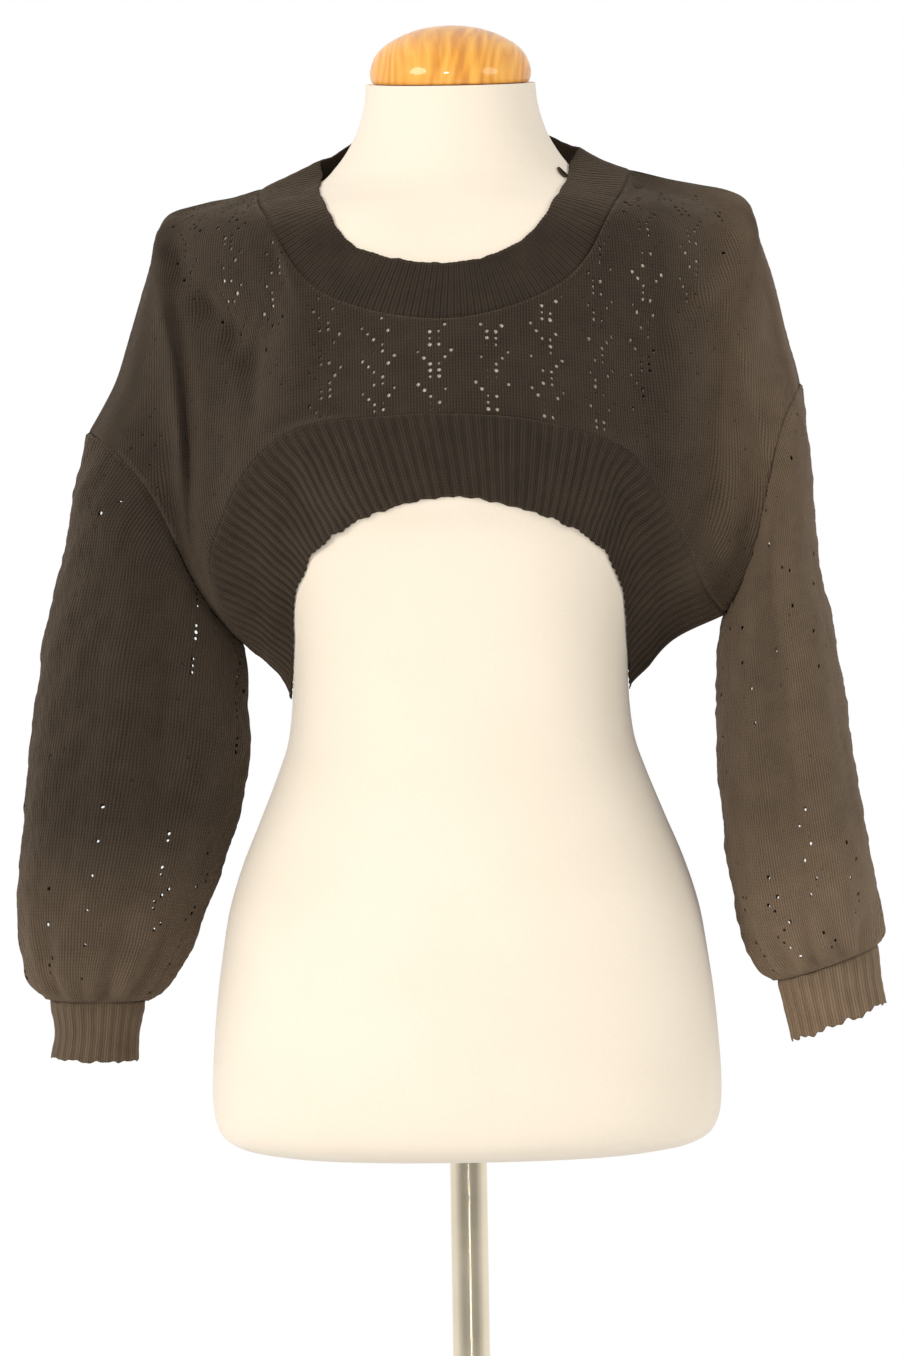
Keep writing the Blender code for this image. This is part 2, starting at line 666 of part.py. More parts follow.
def sweater(tree):
    """All the knit pieces, cut so that neighbours share the points of their seams."""
    shoulder_left = along(SHOULDER_LEFT, np.linspace(0, len(SHOULDER_LEFT) - 1, SHOULDER_COLUMNS + 1))
    shoulder_right = along(SHOULDER_RIGHT, np.linspace(0, len(SHOULDER_RIGHT) - 1, SHOULDER_COLUMNS + 1))

    neck_seam = keep_clear(round_loop(NECK_SEAM, 2 * NECK_COLUMNS), tree, KNIT + EASE)
    for corner, point in ((0, shoulder_left[-1]), (NECK_COLUMNS, shoulder_right[-1])):
        steps = np.arange(2 * NECK_COLUMNS) - corner
        away = np.abs((steps + NECK_COLUMNS) % (2 * NECK_COLUMNS) - NECK_COLUMNS)
        neck_seam = neck_seam + (point - neck_seam[corner]) * np.exp(-(away / NECK_BLEND) ** 2)[:, None]
    neck_edge = round_loop(NECK_EDGE, 2 * NECK_COLUMNS)
    stands = np.clip((neck_edge[:, 1:2] - BAND_LIES_TO) / (BAND_STANDS_FROM - BAND_LIES_TO), 0, 1)
    lying = lay_on(neck_edge.copy(), tree, BAND + NECK_EASE)
    neck_edge = lying * (1 - stands) + keep_clear(neck_edge, tree, BAND + NECK_EASE) * stands
    down = np.linspace(0, 1, NECK_ROWS + 1)[:, None, None]
    neckband = neck_edge * (1 - down) + neck_seam * down
    neckband[1:-1] = keep_clear(neckband[1:-1], tree, BAND + NECK_MIDDLE_EASE)

    top_left, under_left = SHOULDER_LEFT[0], RIB_TOP[0]
    top_right, under_right = SHOULDER_RIGHT[0], RIB_TOP[-1]
    front_left, back_left = armhole(top_left, under_left, side=-1, **ARMHOLE_LEFT)
    front_right, back_right = armhole(top_right, under_right, side=1, **ARMHOLE_RIGHT)

    rib_front = evenly(RIB_TOP, PANEL_COLUMNS)
    rib_back = evenly(behind(RIB_TOP), PANEL_COLUMNS)
    hem_front = keep_clear(evenly(HEM_EDGE, PANEL_COLUMNS), tree, BAND + EASE)
    hem_back = keep_clear(evenly(behind(HEM_EDGE), PANEL_COLUMNS), tree, BAND + EASE)
    hem_back[0] = hem_front[0]
    hem_back[-1] = hem_front[-1]

    neck_front = neck_seam[:NECK_COLUMNS + 1]
    neck_back = np.concatenate([neck_seam[NECK_COLUMNS:], neck_seam[:1]])[::-1]
    top_front = np.concatenate([shoulder_left[:-1], neck_front, shoulder_right[-2::-1]])
    top_back = np.concatenate([shoulder_left[:-1], neck_back, shoulder_right[-2::-1]])

    front = panel(top_front, rib_front, front_left, front_right, False, FRONT_FOLDS)
    back = panel(top_back, rib_back, back_left, back_right, True, BACK_FOLDS)
    band_front = keep_clear(band(rib_front, hem_front, SIDE_LEFT, SIDE_RIGHT), tree, BAND + EASE)
    band_back = keep_clear(band(rib_back, hem_back, SIDE_LEFT, SIDE_RIGHT), tree, BAND + EASE)
    for edge in (0, -1):
        band_back[:, edge] = band_front[:, edge]
    band_front[0], band_back[0] = rib_front, rib_back

    left = sleeve(front_left, back_left, SLEEVE_LEFT, SLEEVE_LEFT_FOLDS)
    right = sleeve(front_right, back_right, SLEEVE_RIGHT, SLEEVE_RIGHT_FOLDS)
    return [
        Cloth("front", front, KNIT, 1, seams="top bottom left right"),
        Cloth("back", back, KNIT, -1, seams="top bottom left right"),
        Cloth("sleeve_left", left, KNIT, 1, closed=True, seams="top bottom"),
        Cloth("sleeve_right", right, KNIT, -1, closed=True, seams="top bottom"),
        Cloth("neckband", neckband, BAND, 1, closed=True, seams="bottom", ribs=6),
        Cloth("hem_front", band_front, BAND, 1, seams="top left right", ribs=4),
        Cloth("hem_back", band_back, BAND, -1, seams="top left right", ribs=4),
        Cloth("cuff_left", tube(CUFF_LEFT, CUFF_ROWS), BAND, 1, closed=True, seams="top", ribs=2),
        Cloth("cuff_right", tube(CUFF_RIGHT, CUFF_ROWS), BAND, -1, closed=True, seams="top", ribs=2),
    ]


clear_scene()
part = bpy.data.collections.new("cropped_knit_sweater_on_dress_form")
bpy.context.scene.collection.children.link(part)

yarn = principled("black_yarn", (0.030, 0.025, 0.021), 0.9)
jersey = principled("cream_jersey", (0.86, 0.79, 0.66), 0.85)
wood = principled("varnished_wood", (0.55, 0.24, 0.07), 0.25)
steel = principled("bright_steel", (0.62, 0.62, 0.62), 0.22, 1.0)

torso = build_form(jersey, part)
build_cap(wood, part)
build_stand(steel, part)

torso_tree = BVHTree.FromPolygons([tuple(v.co) for v in torso.data.vertices],
                                  [tuple(p.vertices) for p in torso.data.polygons])
knit_pieces = sweater(torso_tree)
seam_normals = weld_normals(knit_pieces)
for knit_piece in knit_pieces:
    build_cloth(knit_piece, seam_normals[knit_piece.name], yarn, part)
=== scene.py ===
"""The cropped knit pullover on its dress form, finished piece by piece as it is put together.

Metres, +Z up, -Y the front. Cloth tables are in millimetres, as a pattern cutter writes them.
"""
import math
import random

import bmesh
import bpy
import numpy as np
from mathutils import Matrix, Vector
from mathutils.bvhtree import BVHTree
from mathutils.geometry import barycentric_transform


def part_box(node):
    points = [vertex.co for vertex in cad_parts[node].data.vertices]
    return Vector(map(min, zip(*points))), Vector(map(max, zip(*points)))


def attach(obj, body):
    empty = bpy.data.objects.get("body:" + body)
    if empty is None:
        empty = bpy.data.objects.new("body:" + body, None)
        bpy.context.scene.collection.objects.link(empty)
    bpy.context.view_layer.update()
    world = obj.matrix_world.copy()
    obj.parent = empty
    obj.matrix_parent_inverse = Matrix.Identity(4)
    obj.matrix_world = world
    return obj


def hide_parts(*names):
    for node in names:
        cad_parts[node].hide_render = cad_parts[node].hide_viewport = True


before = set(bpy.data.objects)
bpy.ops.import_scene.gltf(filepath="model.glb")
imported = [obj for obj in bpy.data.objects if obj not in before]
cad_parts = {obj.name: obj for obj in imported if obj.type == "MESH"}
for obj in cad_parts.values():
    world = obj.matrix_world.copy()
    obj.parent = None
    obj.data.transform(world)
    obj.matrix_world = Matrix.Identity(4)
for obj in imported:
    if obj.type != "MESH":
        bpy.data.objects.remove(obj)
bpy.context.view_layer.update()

# The camera stands in front at chest height and looks level, a long lens on an upright frame.
# It leans a little, as the whole stand does in the picture.
CAMERA_PLACE = (-0.0055, -2.6, 1.0776)
CAMERA_ROLL = math.radians(0.95)
LENS = 106.2

camera_data = bpy.data.cameras.new("camera")
camera_data.lens = LENS
camera = bpy.data.objects.new("camera", camera_data)
camera.location = CAMERA_PLACE
camera.rotation_euler = (math.radians(90), CAMERA_ROLL, 0)
bpy.context.scene.collection.objects.link(camera)
bpy.context.scene.camera = camera

# The foot is a plain round steel plate, lathe turned with an eased rim, lying flat on the floor.
# It is brushed in circles and carries the pole at its middle.
FOOT_RADIUS = 0.170
FOOT_TOP = 0.009
FOOT_EASE = 0.0025
FOOT_STEPS = 128
STEEL_DARK = (0.70, 0.61, 0.46)
STEEL_BRIGHT = (0.82, 0.73, 0.57)
STEEL_DULL = (0.17, 0.30)
MERGE = 0.00001


def node(tree, kind, inputs=None, **settings):
    """Adds a shader node, sets it, and gives its inputs values or links."""
    made = tree.nodes.new(kind)
    for name, value in settings.items():
        setattr(made, name, value)
    for key, value in (inputs or {}).items():
        if isinstance(value, bpy.types.NodeSocket):
            tree.links.new(value, made.inputs[key])
        else:
            made.inputs[key].default_value = value
    return made


def ramp(tree, factor, stops):
    """A colour ramp with its stops as (place, colour)."""
    made = node(tree, "ShaderNodeValToRGB", {"Fac": factor})
    for extra in range(len(stops) - 2):
        made.color_ramp.elements.new(0.5)
    for element, (place, colour) in zip(made.color_ramp.elements, stops):
        element.position = place
        element.color = (*colour, 1.0)
    return made.outputs["Color"]


def maths(tree, operation, *values):
    """A math node's result, from plain numbers or links."""
    return node(tree, "ShaderNodeMath", dict(enumerate(values)), operation=operation).outputs[0]


def noise(tree, place, scale=1.0, detail=2.0):
    """Cloudy values from 0 to 1."""
    made = node(tree, "ShaderNodeTexNoise", {"Vector": place, "Scale": scale, "Detail": detail})
    return made.outputs["Fac"]


def mapped(tree, place, **inputs):
    """A place moved, turned or stretched."""
    return node(tree, "ShaderNodeMapping", {"Vector": place} | inputs).outputs["Vector"]


def mapped_range(tree, value, start, end, low, high):
    """A value's way from start to end, turned into one from low to high."""
    return node(tree, "ShaderNodeMapRange", {"Value": value, "From Min": start, "From Max": end,
                "To Min": low, "To Max": high}).outputs["Result"]


def add_bump(tree, shader, height, strength, distance):
    """Gives a shader its fine relief."""
    bump = node(tree, "ShaderNodeBump", {"Height": height, "Strength": strength, "Distance": distance})
    tree.links.new(bump.outputs["Normal"], shader.inputs["Normal"])


def new_material(name, roughness, metallic=0.0, **constants):
    """A material with one Principled BSDF, whose plain numbers sit on the shader itself."""
    material = bpy.data.materials.new(name)
    material.use_nodes = True
    tree = material.node_tree
    shader = tree.nodes["Principled BSDF"]
    shader.inputs["Roughness"].default_value = roughness
    shader.inputs["Metallic"].default_value = metallic
    for key, value in constants.items():
        shader.inputs[key.replace("_", " ")].default_value = value
    return material, tree, shader


def finished_piece(name, bm, material, smooth_angle=None):
    """Puts a bmesh in the scene as one named piece with its material."""
    mesh = bpy.data.meshes.new(name)
    bm.to_mesh(mesh)
    bm.free()
    mesh.materials.append(material)
    mesh.shade_smooth()
    if smooth_angle:
        mesh.set_sharp_from_angle(angle=smooth_angle)
    piece = bpy.data.objects.new(name, mesh)
    bpy.context.scene.collection.objects.link(piece)
    return piece


def turned(profile, steps):
    """Spins a profile of (radius, height) once round the upright axis."""
    bm = bmesh.new()
    line = [bm.verts.new((radius, 0, height)) for radius, height in profile]
    edges = [bm.edges.new(pair) for pair in zip(line, line[1:])]
    bmesh.ops.spin(bm, geom=line + edges, cent=(0, 0, 0), axis=(0, 0, 1), angle=2 * math.pi,
                   steps=steps, use_merge=True)
    bmesh.ops.remove_doubles(bm, verts=bm.verts, dist=MERGE)
    bmesh.ops.recalc_face_normals(bm, faces=bm.faces)
    return bm


def brushed_steel(name, rings):
    """Bright steel with fine brush marks: rings on a turned plate, or lines up a pole."""
    material, tree, shader = new_material(name, 0.24, 1.0)
    place = node(tree, "ShaderNodeTexCoord").outputs["Object"]
    if rings:
        marks = node(tree, "ShaderNodeTexWave", {"Vector": place, "Scale": 260.0, "Distortion": 1.2,
                     "Detail": 3.0}, wave_type="RINGS", rings_direction="Z").outputs["Fac"]
    else:
        marks = noise(tree, mapped(tree, place, Scale=(900.0, 900.0, 6.0)), detail=3.0)
    smudge = noise(tree, place, 14.0, 4.0)
    colour = ramp(tree, smudge, [(0.3, STEEL_DARK), (0.7, STEEL_BRIGHT)])
    tree.links.new(colour, shader.inputs["Base Color"])
    tree.links.new(mapped_range(tree, smudge, 0.3, 0.7, *STEEL_DULL), shader.inputs["Roughness"])
    add_bump(tree, shader, marks, 0.12, 0.0002)
    return material


foot_profile = [(0, 0), (FOOT_RADIUS - 0.001, 0), (FOOT_RADIUS, 0.001),
                (FOOT_RADIUS, FOOT_TOP - FOOT_EASE), (FOOT_RADIUS - 0.0008, FOOT_TOP - 0.0008),
                (FOOT_RADIUS - FOOT_EASE, FOOT_TOP), (0, FOOT_TOP)]
foot = finished_piece("foot_plate", turned(foot_profile, FOOT_STEPS),
                      brushed_steel("turned_steel", True), math.radians(40))
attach(foot, "root")
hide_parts("base_plate")

# The pole is a steel tube of the diameter that shows, polished lengthwise.
# It stands in a low turned collar on the plate, which is a guess, and runs up to the form's underside.
POLE_RADIUS = 0.012
POLE_STEPS = 64
COLLAR_RADIUS = 0.021
COLLAR_HEIGHT = 0.016
pole_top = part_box("pole")[1][2]
pole_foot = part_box("pole")[0][2]
collar_top = pole_foot + COLLAR_HEIGHT
pole_profile = [(0, pole_foot), (COLLAR_RADIUS, pole_foot),
                (COLLAR_RADIUS, pole_foot + COLLAR_HEIGHT * 0.8), (COLLAR_RADIUS - 0.003, collar_top),
                (POLE_RADIUS, collar_top), (POLE_RADIUS, pole_top - 0.001),
                (POLE_RADIUS - 0.001, pole_top), (0, pole_top)]
pole = finished_piece("steel_pole", turned(pole_profile, POLE_STEPS),
                      brushed_steel("drawn_steel", False), math.radians(35))
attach(pole, "root")
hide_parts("pole")

# The form is a padded torso in a tight cover of fine cream jersey, pulled smooth all over.
# The knitted cloth rests on its shoulders, chest and bust.
MM = 0.001
CAP_TILT = math.radians(10.0)
FORM = [
    # z, half_width, front, back, power, tilt
    (771, 125, 72, 78, 2.2, 0),
    (776, 148, 90, 96, 2.2, 0),
    (787, 161, 101, 108, 2.3, 0),
    (812, 165, 106, 113, 2.3, 0),
    (862, 162, 108, 120, 2.3, 0),
    (901, 157, 108, 120, 2.3, 0),
    (930, 152, 105, 114, 2.3, 0),
    (959, 143, 100, 107, 2.2, 0),
    (988, 131, 94, 98, 2.2, 0),
    (1018, 119, 88, 88, 2.2, 0),
    (1040, 112, 85, 81, 2.2, 0),
    (1070, 109, 83, 78, 2.2, 0),
    (1098, 110, 85, 78, 2.2, 0),
    (1127, 114, 90, 80, 2.2, 0),
    (1165, 122, 101, 86, 2.2, 0),
    (1190, 130, 118, 91, 2.2, 0),
    (1218, 138, 127, 95, 2.2, 0),
    (1250, 143, 122, 97, 2.2, 0),
    (1290, 148, 106, 96, 2.3, 0),
    (1318, 164, 95, 94, 2.4, 0),
    (1340, 177, 86, 88, 2.4, 0),
    (1360, 180, 80, 84, 2.2, 0),
    (1372, 178, 74, 80, 2.0, 0),
    (1380, 168, 70, 77, 1.7, 0),
    (1388, 130, 66, 73, 1.5, 0),
    (1395, 99, 63, 69, 1.6, 0.1),
    (1402, 84, 60, 66, 1.7, 0.2),
    (1410, 76, 58, 63, 1.8, 0.4),
    (1420, 68.5, 56, 60, 1.9, 0.6),
    (1433, 61.5, 53.5, 58, 2.0, 0.85),
    (1450, 56.5, 52, 54.5, 2.0, 1),
    (1464, 55, 51, 53, 2.0, 1),
]
FORM_COLUMNS = 96
FORM_ROWS = 180
COVER_GRAIN = 0.0011
COVER_WALES = 860.0
COVER_CREAM = (0.785, 0.70, 0.59)
COVER_SHADE = (0.745, 0.66, 0.55)


def along(points, places):
    """Points of a smooth curve through the given rows, at places counted in rows."""
    points = np.asarray(points, float)
    last = len(points) - 1
    ends = np.concatenate([2 * points[:1] - points[1:2], points, 2 * points[-1:] - points[-2:-1]])
    places = np.clip(np.asarray(places, float), 0, last)
    row = np.minimum(places.astype(int), last - 1)
    t = (places - row).reshape((-1,) + (1,) * (points.ndim - 1))
    before, start, end, after = (ends[row + step] for step in range(4))
    return 0.5 * (2 * start + (end - before) * t + (2 * before - 5 * start + 4 * end - after) * t ** 2
                  + (3 * start - before - 3 * end + after) * t ** 3)


def between(value, start, end):
    """How far a value has come from start to end, from 0 to 1."""
    return np.clip((value - start) / (end - start), 0, 1)


def eased(share):
    """A share from 0 to 1 that starts and ends gently."""
    return share * share * (3 - 2 * share)


def drawn_grid(bm, columns, rows):
    """A flat grid, with its points sorted into rows from the top and columns from the left."""
    bmesh.ops.create_grid(bm, x_segments=columns, y_segments=rows, size=0.5)
    points = sorted(bm.verts, key=lambda v: (-round(v.co.y * rows), round(v.co.x * columns)))
    return [points[row * (columns + 1):(row + 1) * (columns + 1)] for row in range(rows + 1)]


def form_ring(z, half_width, front, back, power, tilt):
    """One row of the form, all the way round. The top rows tilt forward with the cap."""
    turn = np.arange(FORM_COLUMNS + 1) * 2 * math.pi / FORM_COLUMNS
    across = np.sign(np.cos(turn)) * np.abs(np.cos(turn)) ** (2 / power)
    deep = np.sign(np.sin(turn)) * np.abs(np.sin(turn)) ** (2 / power)
    y = np.where(deep < 0, front, back) * deep
    return np.stack([half_width * across, y, z + tilt * y * math.tan(CAP_TILT)], axis=1) * MM


def jersey():
    """Fine cream jersey: rows of tiny stitches, a little fluff, and hardly any change of tone."""
    material, tree, shader = new_material("cream_jersey_cover", 0.88, Sheen_Weight=0.2,
                                          Sheen_Roughness=0.5)
    place = node(tree, "ShaderNodeTexCoord").outputs["Object"]
    xyz = node(tree, "ShaderNodeSeparateXYZ", {"Vector": place})
    turn = maths(tree, "ARCTAN2", xyz.outputs["X"], xyz.outputs["Y"])
    column = maths(tree, "SINE", maths(tree, "MULTIPLY", turn, COVER_WALES))
    course = maths(tree, "MULTIPLY", xyz.outputs["Z"], 2 * math.pi / COVER_GRAIN)
    stitches = maths(tree, "MULTIPLY", column, maths(tree, "SINE", course))
    cloud = noise(tree, place, 11.0)
    fluff = noise(tree, place, 900.0)
    tone = maths(tree, "MULTIPLY_ADD", fluff, 0.5, maths(tree, "MULTIPLY", cloud, 0.5))
    colour = ramp(tree, tone, [(0.35, COVER_SHADE), (0.62, COVER_CREAM)])
    tree.links.new(colour, shader.inputs["Base Color"])
    add_bump(tree, shader, maths(tree, "MULTIPLY_ADD", stitches, 0.35, fluff), 0.25, 0.0003)
    return material


bm = bmesh.new()
form_rows = along(FORM, np.linspace(0, len(FORM) - 1, FORM_ROWS + 1)[::-1])
form_grid = drawn_grid(bm, FORM_COLUMNS, FORM_ROWS)
for points, row in zip(form_grid, form_rows):
    for point, co in zip(points, form_ring(*row)):
        point.co = co
bmesh.ops.remove_doubles(bm, verts=bm.verts, dist=MERGE)
bmesh.ops.holes_fill(bm, edges=[edge for edge in bm.edges if edge.is_boundary])
bmesh.ops.recalc_face_normals(bm, faces=bm.faces)
form_cover = finished_piece("form_cover", bm, jersey(), math.radians(60))
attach(form_cover, "root")
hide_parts("form_torso")
form_tree = BVHTree.FromPolygons([v.co for v in form_cover.data.vertices],
                                 [tuple(p.vertices) for p in form_cover.data.polygons])

# The cap is turned from one block of orange pine, domed, with a soft edge, and varnished glossy.
# It closes the neck and tips forward with it.
CAP_SEAT = 0.0004
CAP_STEPS = 96
CAP_PROFILE = [(0, 37), (10, 36.4), (20, 34.7), (29, 31.8), (36, 28.5), (42, 24.9), (46.5, 20.9),
               (49.6, 16.6), (51.5, 11.8), (52.3, 8.6), (52.5, 6), (52.2, 3.4), (51.4, 1.2),
               (50.4, 0.2), (49, 0), (0, 0)]
WOOD_LIGHT = (0.86, 0.45, 0.085)
WOOD_MIDDLE = (0.74, 0.33, 0.05)
WOOD_DARK = (0.60, 0.24, 0.04)
GROWTH_BANDS = 160.0
GRAIN_LEAN = (0.0, -0.22, 0.06)


def varnished_pine():
    """Orange wood under clear varnish: uneven upright growth bands that lean over, and fine fibres."""
    material, tree, shader = new_material("varnished_pine", 0.45, Coat_Weight=0.55, Coat_Roughness=0.05,
                                          Specular_IOR_Level=0.2)
    place = node(tree, "ShaderNodeTexCoord").outputs["Object"]
    leaned = mapped(tree, place, Location=(0.31, 0.0, -0.42), Rotation=GRAIN_LEAN)
    across = node(tree, "ShaderNodeSeparateXYZ", {"Vector": leaned}).outputs["X"]
    drift = noise(tree, mapped(tree, place, Scale=(38.0, 9.0, 5.0)))
    years = maths(tree, "MULTIPLY_ADD", drift, 7.0, maths(tree, "MULTIPLY", across, GROWTH_BANDS))
    bands = maths(tree, "PINGPONG", years, 0.5)
    patch = noise(tree, mapped(tree, place, Rotation=GRAIN_LEAN, Scale=(150.0, 20.0, 8.0)))
    drawn = mapped(tree, place, Rotation=GRAIN_LEAN, Scale=(1400.0, 200.0, 40.0))
    fibre = noise(tree, drawn, detail=4.0)
    grain = maths(tree, "MULTIPLY_ADD", fibre, 0.25, maths(tree, "MULTIPLY_ADD", bands, 0.5, patch))
    colour = ramp(tree, grain, [(0.50, WOOD_LIGHT), (0.78, WOOD_MIDDLE), (0.98, WOOD_DARK)])
    tree.links.new(colour, shader.inputs["Base Color"])
    add_bump(tree, shader, grain, 0.05, 0.0002)
    return material


bm = turned([(radius * MM, height * MM) for radius, height in CAP_PROFILE], CAP_STEPS)
bmesh.ops.rotate(bm, verts=bm.verts, cent=(0, 0, 0), matrix=Matrix.Rotation(CAP_TILT, 3, "X"))
bmesh.ops.translate(bm, verts=bm.verts, vec=(0, 0, FORM[-1][0] * MM + CAP_SEAT))
neck_cap = finished_piece("wooden_neck_cap", bm, varnished_pine(), math.radians(50))
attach(neck_cap, "root")
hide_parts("neck_cap")

# The front and back are knitted flat in soft near-black yarn, with arrow-shaped groups of eyelets in
# upright columns, and are joined at the shoulders, along the drooping armholes and to the ribbed bands.
SHOULDER_LEFT = [
    # x, y, z
    (-239, 0, 1241), (-228.5, 0, 1259), (-220, 0, 1276), (-212, 0, 1301), (-204, 0, 1327),
    (-198, 0, 1346), (-194.5, 0, 1360), (-190, 0, 1376), (-181, 0, 1385.5), (-161, 0, 1391.5),
    (-142, 0, 1395), (-124, 0, 1399.5),
]
SHOULDER_RIGHT = [
    # x, y, z
    (224, 0, 1265), (220.5, 0, 1280), (216, 0, 1296), (211, 0, 1319), (206, 0, 1339), (199, 0, 1359),
    (196, 0, 1373), (190.5, 0, 1385.5), (178, 0, 1392), (160, 0, 1396), (140, 0, 1400), (115, 0, 1406),
]
NECK_SEAM = [
    # x, y, z
    (-124, 0, 1399.5), (-120, -53, 1376), (-84, -88, 1322), (-5, -104, 1303), (70, -88, 1327),
    (105, -50, 1383), (115, 0, 1406), (97, 40, 1398), (56, 63, 1401), (-3, 71, 1404), (-62, 61, 1401),
    (-104, 38, 1396),
]
RIB_TOP = [
    # x, y, z
    (-140.5, 0, 1102), (-147, -22, 1111), (-155, -41, 1131), (-158, -55, 1156), (-149, -70, 1180),
    (-136.5, -86, 1204), (-116.5, -100, 1225), (-91, -113, 1237), (-50, -124.5, 1241), (-6, -129, 1242),
    (50, -124.5, 1237), (101.5, -106, 1221), (121, -90, 1200), (136, -71, 1176), (149, -51, 1151),
    (160, -27, 1130), (173, 0, 1116),
]
BACK_ARCH = 0.88
BACK_DEPTH = 0.80
ARMHOLE_LEFT = dict(half_depth=46, bow_high=37, bow_low=-19)
ARMHOLE_RIGHT = dict(half_depth=60, bow_high=20, bow_low=-15)
FRONT_FOLDS = [
    # u0, v0, u1, v1, half_width, height
    (0.13, 0.10, 0.09, 0.60, 0.035, 6.5),
    (0.19, 0.25, 0.15, 0.80, 0.030, -5.5),
    (0.88, 0.10, 0.93, 0.80, 0.035, 6.5),
    (0.82, 0.30, 0.88, 0.90, 0.030, -5.0),
]
BACK_FOLDS = [
    # u0, v0, u1, v1, half_width, height
    (0.12, 0.15, 0.09, 0.80, 0.035, 4.0),
    (0.88, 0.12, 0.90, 0.75, 0.035, 4.5),
    (0.45, 0.60, 0.50, 0.95, 0.040, 3.0),
]

# KNIT and BAND are the walls of the CAD solids, and EASE is the room kept under them. The rest
# shapes the panels: their grids, armholes and folds, and how the cloth fans out from the neck.
KNIT = 1.8
BAND = 1.5
EASE = 2.0
PANEL_EASE = 3.0
SHOULDER_COLUMNS = 11
NECK_COLUMNS = 18
PANEL_ROWS = 12
PANEL_COLUMNS = 2 * SHOULDER_COLUMNS + NECK_COLUMNS
CLOSER_ENDS = 0.55
TEARDROP = 2.55
POINT = 0.95
FOLD_FADE = 0.12
FAN = 16.0
FAN_WIDTH = 0.15
FAN_INSIDE = 0.045
FAN_START = 0.08
SIDE_FADE = 4
NECK_BLEND = 2.2
SHOULDER_LEVEL = 1340
ON_FORM = 5.0
LIES_WITHIN = 60.0
HANGS_PAST = 130.0

# One stitch of the knit is a wale wide and a course high. An eyelet is one stitch left open.
# Each row of the chart is two courses, and says how many stitches to each side of a column's
# middle its two eyelets stand. Courses sag towards the sides, by up to SAG.
WALE = 1.9
COURSE = 2.25
CHART = (5.5, 3.5, 1.5, 1.5, 1.5)
COLUMN_WALES = 19
SAG = 25.0
SAG_WIDTH = 114.0

# Eyelets stretch open where the cloth lies on the form, and mostly close where it hangs slack.
# On a sleeve's front nearly all are shut but those that line up with one behind, as in the picture.
# STRETCHED is how near the form cloth counts as stretched, and LINED_UP how close two eyelets look.
# The SHUT shares say how many are shut, and the two ranges of size are shares of a stitch.
EYELET_OPEN = (0.75, 1.28)
EYELET_TIGHT = (0.22, 0.46)
EYELET_ROUND = 31.0
STRETCHED = 8.5
LINED_UP = 1.5
SHUT_STRETCHED = 0.07
TIGHT_STRETCHED = 0.25
SHUT_SLACK = 0.75
SHUT_LINED_UP = 0.0
SHUT_IN_SLEEVE = 0.93
SHUT_BEHIND = 0.45

# The cloth is a shell of this thickness. Its pieces are smoothed FINE times finer than their rows.
SHELL = 0.7
FINE = 5

# The yarn is near black, and paler to the right and downwards, where a haze of glare is painted into
# its colour.
YARN_DARK = (0.003, 0.0021, 0.0014)
YARN_LIGHT = (0.036, 0.025, 0.0170)
GLARE_DARK = (0.095, 0.064, 0.041)
GLARE_LIGHT = (0.225, 0.158, 0.102)
GLARE_SIDE = (0.13, 0.21)
GLARE_AT_SIDE = 0.5
GLARE_LOW = (0.99, 0.86)
GLARE_AT_CUFF = 0.5


def evenly(points, count):
    """A smooth curve through the points, cut into count steps of equal length."""
    dense = along(points, np.linspace(0, len(points) - 1, 40 * len(points)))
    run = np.concatenate([[0], np.cumsum(np.linalg.norm(np.diff(dense, axis=0), axis=1))])
    wanted = np.linspace(0, run[-1], count + 1)
    return np.stack([np.interp(wanted, run, dense[:, axis]) for axis in range(3)], axis=1)


def round_loop(points, count):
    """A closed smooth loop with count steps shared out equally between the rows of its table."""
    points = np.asarray(points, float)
    wrapped = np.vstack([points[-2:], points, points[:3]])
    return along(wrapped, np.arange(count) * len(points) / count + 2)


def form_depth(x, z, at_back, room):
    """How far the form, with some room round it, reaches in front or behind at a place."""
    table = np.array(FORM, float)
    level = np.where(z > SHOULDER_LEVEL, z - room, z)
    half_width = np.interp(level, table[:, 0], table[:, 1]) + room
    reach = np.interp(level, table[:, 0], table[:, 3 if at_back else 2]) + room
    power = np.interp(level, table[:, 0], table[:, 4])
    share = np.clip(np.abs(x) / half_width, 0, 1)
    return reach * (1 - share ** power) ** (1 / power)


def spread(count):
    """Shares of the way down a panel, a little closer together at both ends."""
    even = np.linspace(0, 1, count + 1)
    return (1 - CLOSER_ENDS) * even + CLOSER_ENDS * (1 - np.cos(math.pi * even)) / 2


def armhole(top, bottom, half_depth, bow_high, bow_low, side):
    """The two halves of an armhole seam, front and back, from the shoulder down to the underarm."""
    top, bottom = np.array(top, float), np.array(bottom, float)
    share = spread(PANEL_ROWS)[:, None]
    line = top + (bottom - top) * share
    bow = 3 * share * (1 - share) * (bow_high * (1 - share) + bow_low * share)
    line = line - np.array([side, 0, 0]) * bow
    reach = np.array([0, half_depth, 0]) * TEARDROP * np.sqrt(share) * (1 - share) ** POINT
    return line - reach, line + reach


def folded(shares_u, shares_v, folds):
    """How far soft folds lift each point of a piece."""
    u, v = np.meshgrid(shares_u, shares_v)
    lift = np.zeros_like(u)
    for u0, v0, u1, v1, half_width, height in folds:
        off = (u - (u0 + (u1 - u0) * between(v, v0, v1))) / half_width
        fade = between(np.minimum(v - v0, v1 - v), -FOLD_FADE, FOLD_FADE)
        lift += height * np.exp(-off ** 2) * eased(fade)
    return lift


